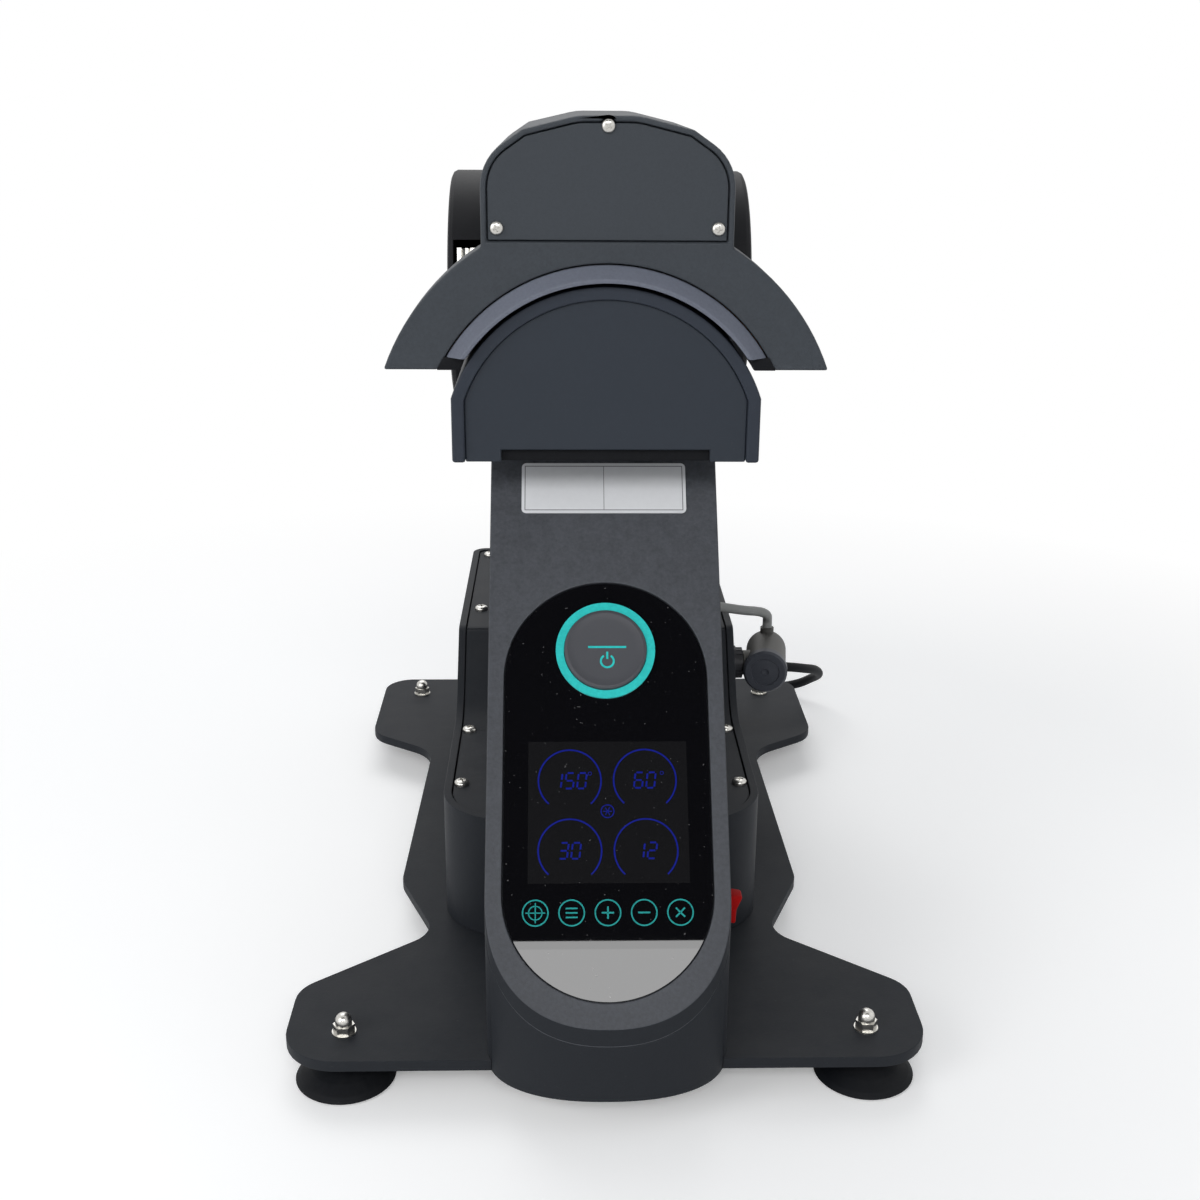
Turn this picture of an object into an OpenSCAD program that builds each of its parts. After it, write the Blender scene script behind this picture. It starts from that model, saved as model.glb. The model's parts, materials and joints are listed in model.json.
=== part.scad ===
// Cap heat press with a motor-driven arm, a curved lower platen and a control column.
// X runs to the right, Y to the back and Z up. The origin is on the table under the middle.

/* [Base] */
// Width of the base plate across its front ears
plate_w = 318; // [296:2:340]
// Thickness of the base plate
plate_t = 6; // [4:0.5:8]
// Distance between the left and right foot bolts
foot_span_x = 260; // [250:2:270]
// Distance between the front and rear foot bolts
foot_span_y = 436; // [420:2:450]
// Plate in front of the front bolts
front_margin = 24; // [20:1:28]
// Plate behind the rear bolts
rear_margin = 29; // [24:1:34]
// Width of the plate between its ears
waist_w = 231; // [220:1:240]
// Radius of a suction foot
foot_r = 25; // [20:0.5:27]
// Height of the plate's underside above the table
foot_h = 19; // [16:0.5:24]

/* [Column] */
// Width of the control column
column_w = 117; // [110:1:124]
// How far the column stands out in front of the plate
nose = 25; // [15:1:30]
// Height of the front lip of the sloping face above the plate
lip_h = 34; // [26:1:40]
// Slope of the control face from the horizontal, in degrees
face_angle = 52; // [48:1:55]
// Wall of the column casing
column_wall = 3; // [2:0.5:4]
// Thickness of the face frame
face_t = 6; // [5:0.5:8]
// Width of the glass
glass_w = 101; // [90:1:104]
// Length of the glass along the slope
glass_len = 206.7; // [190:1:212]
// Distance from the lip to the glass along the slope
glass_start = 12; // [9:1:16]
// Thickness of the glass
glass_t = 3; // [2:0.5:4]
// Distance from the lip to the start button's middle along the slope
button_u = 182.8; // [175:1:186]
// Radius of the start button's cap
button_r = 20.6; // [16:0.2:21.4]
// Travel of the start button
button_travel = 2; // [1:0.5:2.5]

/* [Platens] */
// Outer radius of the lower platen over its pad
platen_r = 79.8; // [74:0.5:86]
// Width of the lower platen over its pad
platen_w = 151; // [140:1:156]
// Distance of the platens' front behind the front bolts
platen_setback = 83; // [78:1:90]
// Depth of both platens from front to back
platen_depth = 87; // [75:1:100]
// Thickness of the silicone pad
pad_t = 6.5; // [3:0.5:9]
// Height of the arc's centre above the table
arc_h = 300; // [296:1:310]
// Straight side below the arc's centre
skirt_h = 6; // [4:0.5:12]
// Gap between the two platens when the press is shut
platen_gap = 2; // [1:0.5:4]
// Radial thickness of the upper platen
upper_t = 8; // [6:0.5:10]
// Outer radius of the wings round the upper platen
wing_r = 114.5; // [108:0.5:120]
// Height of the wings' ends above the arc's centre
wing_h = 40; // [34:1:48]

/* [Arm] */
// Width of the arm's hood
hood_w = 119; // [114:1:126]
// Height of the hood's top above the platens' arc centre
hood_rise = 157; // [152:1:166]
// Distance of the hinge axis behind the front bolts
hub_back = 300; // [290:1:310]
// Height of the hinge axis above the platens' arc centre
hub_rise = 50; // [46:1:56]
// Radius of the hinge drums
drum_r = 71; // [66:0.5:76]
// Width across both hinge drums
drum_span = 174; // [160:1:190]
// Wall of the hood and the drums
shell = 3; // [2:0.5:4]
// Radius of the hinge shaft
shaft_r = 10; // [8:0.5:12]
// Radius of the crank from the shaft to the drive pin, when it points straight back
crank_len = 36; // [32:1:38]
// Angle that the arm opens
open_angle = 45; // [30:1:45]

/* [Casing] */
// Width of the rear casing
casing_w = 176; // [170:1:186]
// Corner radius at the front of the casing
casing_corner = 36; // [28:1:40]
// Height of the front deck above the plate
deck_low = 72; // [64:1:80]
// Height of the rear deck above the plate
deck_high = 116; // [100:1:124]
// Wall of the casing
casing_wall = 4.5; // [3:0.5:6]
// Thickness of the bent covers
cover_t = 2.5; // [1.5:0.5:3]
// Width across the tower's side plates
tower_w = 92; // [86:1:96]
// Depth of the tower from front to back
tower_d = 110; // [106:1:114]
// Thickness of the tower's side plates
cheek_t = 8; // [6:0.5:10]

/* [Mains lead] */
// Diameter of the mains lead
lead_d = 7; // [6:0.5:8]
// Turns in each layer of the stored coil
coil_turns = 3; // [2:1:3]
// Mean radius of the coil's inner turn
coil_r = 26; // [25:1:32]

/* [Fits] */
// Groove round a cover or a panel
groove = 0.6; // [0.3:0.1:1]
// Radial play of a shaft in its bush
running = 0.05; // [0.02:0.01:0.1]
// Space kept between pieces that move past each other
play = 0.5; // [0.3:0.1:1]

/* [Hidden] */
$fn = 96;

// Places that the driving sizes give
depth = nose + front_margin + foot_span_y + rear_margin;
front_y = -depth / 2;
// A length that cuts reach past the part with
beyond = depth;
plate_front = front_y + nose;
plate_back = depth / 2;
bolt_front = plate_front + front_margin;
bolt_back = bolt_front + foot_span_y;
plate_z = foot_h + plate_t;
hub_y = bolt_front + hub_back;
hub_h = arc_h + hub_rise;
hood_top = arc_h + hood_rise;
platen_front = bolt_front + platen_setback;
platen_back = platen_front + platen_depth;
skirt_z = arc_h - skirt_h;
lip_z = plate_z + lip_h;
column_top = skirt_z - 0.3;
slope_len = (column_top - lip_z) / sin(face_angle);
column_back = platen_back + 4;
deck_z = plate_z + deck_low;
upper_deck_z = plate_z + deck_high;
tower_front_y = hub_y - tower_d / 2;
tower_back_y = hub_y + tower_d / 2;
upper_r = platen_r + platen_gap;
drum_w = (drum_span - hood_w) / 2;
rest_lift = open_angle / 2;
rod_travel = 2 * crank_len * tan(rest_lift);
pin_y = hub_y + crank_len;
pin_z = hub_h + rod_travel / 2;

echo(rod_travel = rod_travel, hub_y = hub_y, depth = depth);

// Points of an outline whose corners [x, y, radius] are rounded with arcs
function unit(v) = v / norm(v);
function arc_points(a, p, b, r) =
    let (u = unit(a - p), v = unit(b - p), c = u * v, half = acos(c) / 2)
    let (t = r / tan(half), m = p + unit(u + v) * r / sin(half), s = p + u * t - m, e = p + v * t - m)
    let (turn = acos(max(-1, min(1, unit(s) * unit(e)))), side = cross(s, e) > 0 ? 1 : -1)
    let (n = max(2, ceil(turn / 9)))
    [for (i = [0:n]) let (q = side * turn * i / n)
        m + [s.x * cos(q) - s.y * sin(q), s.x * sin(q) + s.y * cos(q)]];
function rounded(pts) =
    let (n = len(pts))
    [for (i = [0:n - 1])
        let (a = pts[(i + n - 1) % n], p = pts[i], b = pts[(i + 1) % n])
        each (p[2] > 0 ? arc_points([a.x, a.y], [p.x, p.y], [b.x, b.y], p[2]) : [[p.x, p.y]])];
function mirrored(half) =
    concat(half, [for (i = [len(half) - 1:-1:0]) [-half[i][0], half[i][1], half[i][2]]]);

// Turns a drawing in X and Z into a body along +Y that starts at y0
module along_y(y0, length) {
    translate([0, y0 + length, 0]) rotate([90, 0, 0]) linear_extrude(length) children();
}
// Turns a drawing in Y and Z into a body along +X that starts at x0
module along_x(x0, length) {
    translate([x0, 0, 0]) rotate([90, 0, 90]) linear_extrude(length) children();
}
module rod_x(x0, y, z, length, r) {
    translate([x0, y, z]) rotate([0, 90, 0]) cylinder(h = length, r = r);
}
module rod_y(x, y0, z, length, r) {
    translate([x, y0, z]) rotate([-90, 0, 0]) cylinder(h = length, r = r);
}
// Frame of the sloping face: x across, y up the slope from the lip, z out of the face
module on_face() {
    translate([0, front_y, lip_z]) rotate([face_angle, 0, 0]) children();
}
// Button head screw with its shank, head up
module screw(r_head, r_shank, length) {
    head_h = r_head * 0.7;
    difference() {
        cylinder(h = head_h, r1 = r_head, r2 = r_head * 0.82, $fn = 48);
        translate([0, 0, head_h * 0.45]) cylinder(h = head_h, r = r_head * 0.5, $fn = 6);
    }
    translate([0, 0, -length]) cylinder(h = length, r = r_shank, $fn = 32);
}

// Base
ear_front = [[plate_w / 2, plate_front, 27], [plate_w / 2, bolt_front + 38, 20],
    [waist_w / 2 - 23, bolt_front + 92, 18], [waist_w / 2 + 1, bolt_front + 150, 24]];
ear_back = [[waist_w / 2 - 2, bolt_back - 105, 30], [plate_w / 2, bolt_back - 74, 24],
    [plate_w / 2, plate_back, 20]];
bolt_r = 3;
bolt_xy = [for (x = [-1, 1], y = [bolt_front, bolt_back]) [x * foot_span_x / 2, y]];
module base_plate() color([0.2, 0.2, 0.21]) difference() {
    translate([0, 0, foot_h]) linear_extrude(plate_t)
        polygon(rounded(mirrored(concat(ear_front, ear_back))));
    for (p = bolt_xy) translate([p.x, p.y, foot_h - 1]) cylinder(h = plate_t + 2, r = bolt_r + 0.3);
    for (x = [-1, 1], y = [tower_front_y + 18, tower_back_y - 18])
        translate([x * (tower_w / 2 + 10), y, foot_h - 1]) cylinder(h = plate_t + 2, r = 3.3);
}
// Suction cup with a hollow underside, a neck and a flat seat for the nut
cup_profile = [[0, 4], [foot_r - 8, 1.6], [foot_r - 4, 0], [foot_r - 1, 0], [foot_r, 0.8], [foot_r - 2.5, 3],
    [foot_r - 8, 6.5], [foot_r - 14, 9.5], [foot_r - 15, foot_h - 4.4], [0, foot_h - 4.4]];
module suction_feet() color([0.06, 0.06, 0.06]) for (p = bolt_xy)
    translate([p.x, p.y, 0]) difference() {
        rotate_extrude() polygon(cup_profile);
        translate([0, 0, foot_h - 10]) cylinder(h = 10, r = bolt_r);
    }
module foot_bolts() color([0.75, 0.75, 0.75]) for (p = bolt_xy)
    translate([p.x, p.y, foot_h - 10]) cylinder(h = 10 + plate_t + 7.6, r = bolt_r);
// A thin nut under the plate, a nut on top of it and a domed nut over that
module foot_nuts() color([0.72, 0.72, 0.7]) for (p = bolt_xy) translate([p.x, p.y, 0]) {
    difference() {
        translate([0, 0, foot_h - 4.4]) cylinder(h = 4.1, r = 7, $fn = 6);
        translate([0, 0, foot_h - 5]) cylinder(h = 6, r = bolt_r);
    }
    difference() {
        union() {
            translate([0, 0, plate_z]) cylinder(h = 0.8, r = 6);
            translate([0, 0, plate_z + 0.8]) cylinder(h = 4, r = 5.4, $fn = 6);
            translate([0, 0, plate_z + 4.8]) cylinder(h = 1.8, r = 4.2);
            translate([0, 0, plate_z + 6.6]) sphere(r = 4.2, $fn = 48);
        }
        translate([0, 0, plate_z - 1]) cylinder(h = 8.6, r = bolt_r);
    }
}

// Column
nose_curve = 38;
// Plan of the column, drawn smaller by the inset; its front is a squarish curve
module column_plan(inset) {
    a = column_w / 2 - inset;
    b = nose_curve - inset;
    polygon(concat(
        [for (q = [0:3:180]) [a * sign(cos(q)) * pow(abs(cos(q)), 0.87),
            front_y + nose_curve - b * pow(sin(q), 0.87)]],
        [[-a, column_back - inset], [a, column_back - inset]]));
}
// Everything more than a given depth below the sloping face is kept
module under_face(down) difference() {
    children();
    on_face() translate([-column_w, -80, -down]) cube([2 * column_w, 500, 300]);
}
// A long shape on the face with round ends, made of true arcs
module stadium_solid(width, start, length, low, high) {
    r = width / 2;
    translate([0, start + r, low]) cylinder(h = high - low, r = r);
    translate([0, start + length - r, low]) cylinder(h = high - low, r = r);
    translate([-r, start + r, low]) cube([width, length - width, high - low]);
}
switch_y = bolt_front + 20;
switch_z = plate_z + 59;
switch_w = 13;
switch_len = 21;
module switch_place() translate([column_w / 2, switch_y, switch_z]) rotate([0, 90, 0]) children();
module column_casing() color([0.21, 0.21, 0.22]) difference() {
    under_face(face_t) translate([0, 0, foot_h]) linear_extrude(column_top - foot_h) column_plan(0);
    translate([0, 0, foot_h + column_wall])
        linear_extrude(column_top - column_wall - 1 - foot_h - column_wall) column_plan(column_wall);
    translate([-column_w, plate_front - 0.2, 0]) cube([2 * column_w, depth, plate_z]);
    switch_place() translate([-switch_len / 2 + 1, -switch_w / 2 + 1, -column_wall - 1])
        cube([switch_len - 2, switch_w - 2, column_wall + 2]);
    for (z = [plate_z + 60, plate_z + 150]) rod_y(0, column_back - 10, z, 20, 7);
}
ledge = 3;
module face_frame() color([0.29, 0.29, 0.3]) difference() {
    intersection() {
        under_face(0) translate([0, 0, lip_z - 30]) linear_extrude(column_top - lip_z + 30) column_plan(0);
        on_face() translate([-column_w, -80, -face_t]) cube([2 * column_w, 500, face_t]);
    }
    on_face() {
        stadium_solid(glass_w, glass_start, glass_len, -glass_t - 0.8, 5);
        stadium_solid(glass_w - 2 * ledge, glass_start + ledge, glass_len - 2 * ledge, -30, 5);
    }
}
cap_hole_r = button_r + 3.8;
module panel_glass() color([0.04, 0.04, 0.045]) on_face() difference() {
    stadium_solid(glass_w - 2 * groove, glass_start + groove, glass_len - 2 * groove,
        -glass_t - 0.8, -0.8);
    translate([0, button_u, -10]) cylinder(h = 20, r = cap_hole_r);
}
display_u = 101.7;
display_w = 78.6;
display_h = 68.2;
board_gap = 9;
display_z = -glass_t - 1.1;
module display() color([0.02, 0.03, 0.2]) on_face()
    translate([-display_w / 2, display_u - display_h / 2, display_z - 3]) cube([display_w, display_h, 3]);
board_t = 1.6;
board_z = display_z - 3 - board_gap;
key_pitch = 17.3;
key_u = 53.5;
module control_board() color([0.05, 0.25, 0.12]) on_face() {
    translate([-glass_w / 2 + 9, key_u - 18, board_z])
        cube([glass_w - 18, display_u + display_h / 2 + 12 - key_u + 18, board_t]);
    for (i = [-2:2]) translate([i * key_pitch, key_u, board_z + board_t])
        cylinder(h = -glass_t - 1.1 - board_z - board_t, r = 5);
    translate([-30, display_u - 20, board_z - 6]) cube([22, 30, 6]);
    translate([8, display_u - 16, board_z - 6]) cube([24, 16, 6]);
}
module board_standoffs() color([0.8, 0.7, 0.4]) on_face()
    for (x = [-1, 1], u = [key_u - 12, display_u + display_h / 2 + 6])
        translate([x * 37, u, board_z + board_t]) difference() {
            cylinder(h = -glass_t - 0.8 - board_z - board_t, r = 3);
            translate([0, 0, -1]) cylinder(h = 6, r = 1.2);
        }
ring_r = 24.2;
module start_ring() color([0.1, 0.7, 0.68]) on_face() translate([0, button_u, 0]) {
    difference() {
        translate([0, 0, -0.8]) cylinder(h = 1.4, r = ring_r + 0.6);
        translate([0, 0, -2]) cylinder(h = 6, r = button_r + 0.3);
    }
    difference() {
        translate([0, 0, -12]) cylinder(h = 11.2, r = cap_hole_r - 0.2);
        translate([0, 0, -13]) cylinder(h = 16, r = button_r + 0.3);
    }
}
module start_switch() color([0.1, 0.1, 0.1]) on_face() translate([0, button_u, 0]) difference() {
    translate([0, 0, -30]) cylinder(h = 18, r = cap_hole_r - 0.2);
    translate([0, 0, -20]) cylinder(h = 9, r = button_r + 0.3);
}
cap_skirt = 15.5;
module start_button() color([0.25, 0.25, 0.26]) on_face() translate([0, button_u, 0.4])
    rotate_extrude() polygon([[0, -cap_skirt], [button_r - 3, -cap_skirt], [button_r, -cap_skirt + 1],
        [button_r, 1], [button_r - 1, 1.9], [0, 2.2]]);
plate_label_w = 85;
plate_label_u = slope_len - 27.3;
module rating_plate() color([0.85, 0.85, 0.83]) on_face()
    translate([0, plate_label_u, 0]) linear_extrude(0.5)
        polygon(rounded([for (p = [[-1, -1], [1, -1], [1, 1], [-1, 1]])
            [p.x * plate_label_w / 2, p.y * 14, 2.5]]));
module switch_frame() color([0.05, 0.05, 0.05]) switch_place() difference() {
    union() {
        translate([-switch_len / 2 - 1, -switch_w / 2 - 1, 0]) cube([switch_len + 2, switch_w + 2, 2.5]);
        translate([-switch_len / 2 + 1.2, -switch_w / 2 + 1.2, -14])
            cube([switch_len - 2.4, switch_w - 2.4, 14]);
    }
    translate([-switch_len / 2 + 2, -switch_w / 2 + 2, -11]) cube([switch_len - 4, switch_w - 4, 20]);
}
module power_rocker() color([0.75, 0.06, 0.05]) switch_place() rotate([0, 12, 0]) difference() {
    union() {
        translate([0, switch_w / 2 - 2.4, 0]) rotate([90, 0, 0])
            linear_extrude(switch_w - 4.8) polygon([[-7.2, 0], [-6.2, -4], [0, -6], [6.2, -4], [7.2, 0],
                [7.8, 6.4], [0, 4.4], [-7.8, 6.4]]);
    }
}
supply_w = 120;
module power_supply() color([0.7, 0.7, 0.7])
    translate([-supply_w / 2, tower_back_y + 8, plate_z]) difference() {
        cube([supply_w, 60, 66]);
        for (i = [0:8]) translate([12 + i * 11, 6, 60]) cube([4, 48, 10]);
    }

// Rear casing
casing_front = bolt_front + 87;
casing_back = bolt_back + 4;
riser_low = casing_front + 141;
riser_high = casing_front + 181;
cover_drop = 1;
ledge_w = 4;
module casing_plan(inset) {
    w = casing_w / 2 - inset;
    r = casing_corner - inset;
    polygon(rounded([[w, casing_front + inset, r], [w, casing_back - inset, max(1, 10 - inset)],
        [-w, casing_back - inset, max(1, 10 - inset)], [-w, casing_front + inset, r]]));
}
// Side outline of the stepped top, lowered by a drop
module casing_side(drop) polygon(rounded([[casing_front - 10, 0, 0], [casing_front - 10, deck_z - drop, 0],
    [riser_low, deck_z - drop, 38], [riser_high, upper_deck_z - drop, 8],
    [casing_back + 10, upper_deck_z - drop, 0], [casing_back + 10, 0, 0]]));
module casing_body(inset, drop) intersection() {
    translate([0, 0, plate_z]) linear_extrude(deck_high + 20) casing_plan(inset);
    along_x(-casing_w, 2 * casing_w) casing_side(drop);
}
module column_space() translate([0, 0, foot_h - 5])
    linear_extrude(deck_high + 60) column_plan(-play);
// The cover screws stand at these places: x, y and the deck that they are on
cover_screw_xyz = concat(
    [for (y = [casing_front + 45, riser_low - 22], x = [-1, 1])
        [x * (casing_w / 2 - 9.5), y, deck_z - cover_drop]],
    [for (y = [riser_high + 36, casing_back - 16], x = [-1, 1])
        [x * (casing_w / 2 - 12.5), y, upper_deck_z - cover_drop]]);
module rear_casing() color([0.2, 0.2, 0.21]) difference() {
    union() {
        difference() {
            casing_body(0, 0);
            translate([0, 0, -1]) casing_body(casing_wall, cover_drop + cover_t + 2);
            casing_body(casing_wall + ledge_w, -30);
            difference() {
                casing_body(casing_wall, -30);
                along_x(-casing_w, 2 * casing_w) casing_side(cover_drop + cover_t);
            }
        }
        for (p = cover_screw_xyz) translate([p.x, p.y, p.z - cover_t - 14])
            cylinder(h = 14, r = 5.5);
    }
    column_space();
    for (p = cover_screw_xyz) translate([p.x, p.y, p.z - cover_t - 10]) cylinder(h = 20, r = 1.6);
    rod_x(casing_w / 2 - 20, socket_y, socket_z, 40, 8);
    rod_x(casing_w / 2 - 20, inlet_y, inlet_z, 40, gland_r);
    for (i = [0:7]) translate([-35 + i * 10 - 2, casing_back - casing_wall - 5, plate_z + 30])
        cube([4, casing_wall + 10, 50]);
}
module cover_sheet() difference() {
    intersection() {
        translate([0, 0, plate_z]) linear_extrude(deck_high + 20) casing_plan(casing_wall + groove);
        along_x(-casing_w, 2 * casing_w) difference() {
            casing_side(cover_drop);
            casing_side(cover_drop + cover_t);
        }
    }
    column_space();
    translate([-tower_w / 2 - play, tower_front_y - play, 0])
        cube([tower_w + 2 * play, tower_d + 2 * play, beyond]);
    for (p = cover_screw_xyz) translate([p.x, p.y, p.z - 10]) cylinder(h = 20, r = 2);
}
module deck_cover() color([0.22, 0.22, 0.23]) intersection() {
    cover_sheet();
    translate([-casing_w, casing_front - 20, 0]) cube([2 * casing_w, riser_high - casing_front + 20, beyond]);
}
module rear_cover() color([0.22, 0.22, 0.23]) intersection() {
    cover_sheet();
    translate([-casing_w, riser_high + groove, 0]) cube([2 * casing_w, beyond, beyond]);
}
module cover_screws() color([0.8, 0.8, 0.78]) for (p = cover_screw_xyz)
    translate(p) screw(4.2, 1.5, 8);

// Tower
flange_w = 20;
module tower_side(s) difference() {
    union() {
        along_x(s * tower_w / 2 - (s > 0 ? cheek_t : 0), cheek_t) {
            polygon([[tower_front_y, plate_z], [tower_back_y, plate_z],
                [tower_back_y, hub_h - 60], [hub_y + 34, hub_h - 10], [hub_y - 34, hub_h - 10],
                [tower_front_y, hub_h - 60]]);
            translate([hub_y, hub_h]) circle(r = 36);
        }
        translate([s > 0 ? tower_w / 2 : -tower_w / 2 - flange_w, tower_front_y, plate_z])
            cube([flange_w, tower_d, 7]);
    }
    rod_x(s * tower_w / 2 - 20, hub_y, hub_h, 40, shaft_r + 4);
    for (y = [tower_front_y + 18, tower_back_y - 18])
        translate([s * (tower_w / 2 + 10), y, 0]) cylinder(h = 60, r = 3.3);
}
module tower_left() color([0.3, 0.3, 0.31]) tower_side(-1);
module tower_right() color([0.3, 0.3, 0.31]) tower_side(1);
module tower_sheet(y, top) translate([-tower_w / 2 + cheek_t, y, upper_deck_z - 30])
    cube([tower_w - 2 * cheek_t, cover_t, top - upper_deck_z + 30]);
module tower_front() color([0.2, 0.2, 0.21]) tower_sheet(tower_front_y, hub_h - 45);
module tower_back() color([0.2, 0.2, 0.21]) tower_sheet(tower_back_y - cover_t, hub_h - 60);
module tower_bolts() color([0.6, 0.6, 0.6])
    for (s = [-1, 1], y = [tower_front_y + 18, tower_back_y - 18])
        translate([s * (tower_w / 2 + 10), y, 0]) {
            translate([0, 0, plate_z + 7]) cylinder(h = 5, r = 5.5, $fn = 6);
            translate([0, 0, foot_h]) cylinder(h = plate_t + 8, r = 3);
            translate([0, 0, foot_h - 3]) cylinder(h = 3, r = 5.5, $fn = 6);
        }
module hinge_bushes() color([0.75, 0.6, 0.3]) for (s = [-1, 1])
    translate([s * (tower_w / 2 - cheek_t / 2), hub_y, hub_h]) rotate([0, 90, 0]) difference() {
        cylinder(h = cheek_t, r = shaft_r + 4, center = true);
        cylinder(h = cheek_t + 2, r = shaft_r + running, center = true);
    }

// Lower platen
end_t = 3;
module platen_outline(half_w, r, bottom) {
    top = arc_h + sqrt(r * r - half_w * half_w);
    translate([-half_w, bottom]) square([2 * half_w, top - bottom]);
    intersection() {
        translate([0, arc_h]) circle(r = r, $fn = 180);
        translate([-half_w, arc_h]) square([2 * half_w, r + 1]);
    }
}
core_w = platen_w / 2 - pad_t;
core_r = platen_r - pad_t;
neck_w = 103;
module platen_neck() color([0.15, 0.15, 0.15])
    translate([-neck_w / 2, platen_front + end_t + 3, skirt_z])
        cube([neck_w, platen_depth - 2 * end_t - 6, skirt_h]);
module lower_platen() color([0.5, 0.5, 0.52]) along_y(platen_front + end_t + 2.5,
    platen_depth - 2 * end_t - 5) difference() {
        platen_outline(core_w, core_r, arc_h);
        intersection() {
            translate([0, arc_h]) circle(r = core_r - 12, $fn = 120);
            translate([-core_w, arc_h + 10]) square([2 * core_w, core_r]);
        }
    }
module lower_heater() color([0.7, 0.35, 0.15]) along_y(platen_front + 12, platen_depth - 24)
    difference() {
        intersection() {
            translate([0, arc_h]) circle(r = core_r - 12.2, $fn = 120);
            translate([-core_w, arc_h + 14]) square([2 * core_w, core_r]);
        }
        translate([0, arc_h]) circle(r = core_r - 14.4, $fn = 120);
    }
module lower_pad() color([0.12, 0.12, 0.13]) along_y(platen_front, platen_depth) difference() {
    platen_outline(platen_w / 2, platen_r, skirt_z);
    platen_outline(core_w, core_r, skirt_z - 1);
}
module platen_end(y) along_y(y, end_t) difference() {
    platen_outline(core_w, core_r, skirt_z);
    translate([-neck_w / 2, skirt_z - 1]) square([neck_w, skirt_h + 1]);
}
module front_end_plate() color([0.16, 0.17, 0.19]) platen_end(platen_front + 2.5);
module back_end_plate() color([0.16, 0.17, 0.19]) platen_end(platen_back - 2.5 - end_t);

// Arm
// Front outline of the hood, drawn smaller by the inset
module hood_outline(inset, low) polygon(rounded(mirrored([
    [hood_w / 2 - inset, low, 0],
    [hood_w / 2 - inset, hood_top - 19.8 - 0.53 * inset, 24 - inset],
    [39.5 - 0.41 * inset, hood_top - 6.2 - 0.93 * inset, 4],
    [14 - 0.12 * inset, hood_top - inset, 30]])));
// Side outline of the hood: level, then down to the drum's circle, which it dips just under
hood_drop = 102;
rear_angle = 10;
module hood_side(inset) {
    r = drum_r - inset - 1;
    rise = hood_top - inset - hub_h;
    q = atan2(rise, -hood_drop) - acos(r / norm([rise, hood_drop]));
    polygon([[platen_front - 10, hub_h], [platen_front - 10, hood_top - inset],
        [hub_y - hood_drop, hood_top - inset], [hub_y + r * cos(q), hub_h + r * sin(q)],
        [hub_y, hub_h]]);
    translate([hub_y, hub_h]) circle(r = drum_r - inset);
}
platen_y = platen_front + platen_depth / 2;
module ring_sector(r_in, r_out, y0, length, low) along_y(y0, length) difference() {
    intersection() {
        translate([0, arc_h]) circle(r = r_out, $fn = 180);
        translate([-2 * wing_r, low]) square([4 * wing_r, 4 * wing_r]);
    }
    translate([0, arc_h]) circle(r = r_in, $fn = 180);
}
platen_out = upper_r + upper_t;
wing_z = arc_h + wing_h;
wing_wall = 3;
wing_depth = 22;
sheath_r = platen_out + 15;
back_wall = 3;
hanger_x = 30;
hanger_xy = [for (x = [-1, 1], y = [-1, 1]) [x * hanger_x, platen_y + y * 24]];
plate_low = wing_z + 61;
module hood_room(inset) intersection() {
    along_x(-hood_w, 2 * hood_w) hood_side(inset);
    translate([0, platen_front + 5, 0]) along_y(0, beyond) hood_outline(inset, 200);
}
module upper_housing() color([0.22, 0.22, 0.24]) difference() {
    union() {
        intersection() {
            along_x(-hood_w / 2, hood_w) hood_side(0);
            along_y(platen_front, 500) hood_outline(0, 200);
        }
        ring_sector(sheath_r - 5, wing_r, platen_front, wing_depth, wing_z);
        ring_sector(platen_out - 6, sheath_r, platen_front, platen_depth + 1 + back_wall, wing_z);
        ring_sector(platen_r - 4, platen_out, platen_back + 1, back_wall, wing_z);
    }
    // Room inside the hood, over the wings
    difference() {
        hood_room(shell);
        ring_sector(1, wing_r - 1, platen_front - 1, wing_depth - 1, hub_h - 60);
        ring_sector(2, sheath_r - 1, platen_front - 2, platen_depth + 1 + back_wall, hub_h - 61);
    }
    // Open underside behind the platen, and round the tower
    translate([-hood_w / 2 + shell, platen_back + 1 + back_wall, 0])
        cube([hood_w - 2 * shell, hub_y - platen_back - 1 - back_wall, hub_h + 40]);
    intersection() {
        translate([-hood_w / 2 + shell, hub_y - 1, 0]) cube([hood_w - 2 * shell, 200, 500]);
        along_x(-hood_w, 2 * hood_w) polygon([[hub_y - 1, hub_h], [hub_y, hub_h],
            [hub_y + 200, hub_h + 200 * tan(rear_angle)], [hub_y + 200, 0], [hub_y - 1, 0]]);
    }
    // Pocket for the insulation, wider behind the wings' front
    ring_sector(sheath_r - 4, wing_r - wing_wall, platen_front + 4, wing_depth - 7, wing_z + wing_wall);
    ring_sector(platen_out - 1, sheath_r - wing_wall, platen_front + 4, platen_depth - 4, wing_z + wing_wall);
    along_y(platen_front - 1, platen_depth + 2) translate([0, arc_h]) circle(r = platen_out + 0.5);
    // Seat and opening of the front cover
    along_y(platen_front - 1, 4.5) hood_cover_outline(2.8, plate_low - groove);
    along_y(platen_front - 1, 30) hood_cover_outline(9, plate_low + 6);
    for (p = hood_screw_xz) rod_y(p.x, platen_front - 1, p.y, 30, 1.6);
    for (p = hood_screw_xz) rod_y(p.x, platen_front - 1, p.y, 4.5, 3.6);
    for (p = hanger_xy) translate([p.x, p.y, wing_z]) cylinder(h = 90, r = 5.5);
    for (s = [-1, 1]) rod_x(s * hood_w / 2 - 10, hub_y, hub_h, 20, shaft_r + 1);
}
module hood_cover_outline(inset, low) intersection() {
    hood_outline(inset, 200);
    translate([-hood_w, low]) square([2 * hood_w, 200]);
}
hood_screw_xz = [[-52, plate_low + 5.5], [52, plate_low + 5.5], [0, hood_top - 4.6]];
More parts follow.
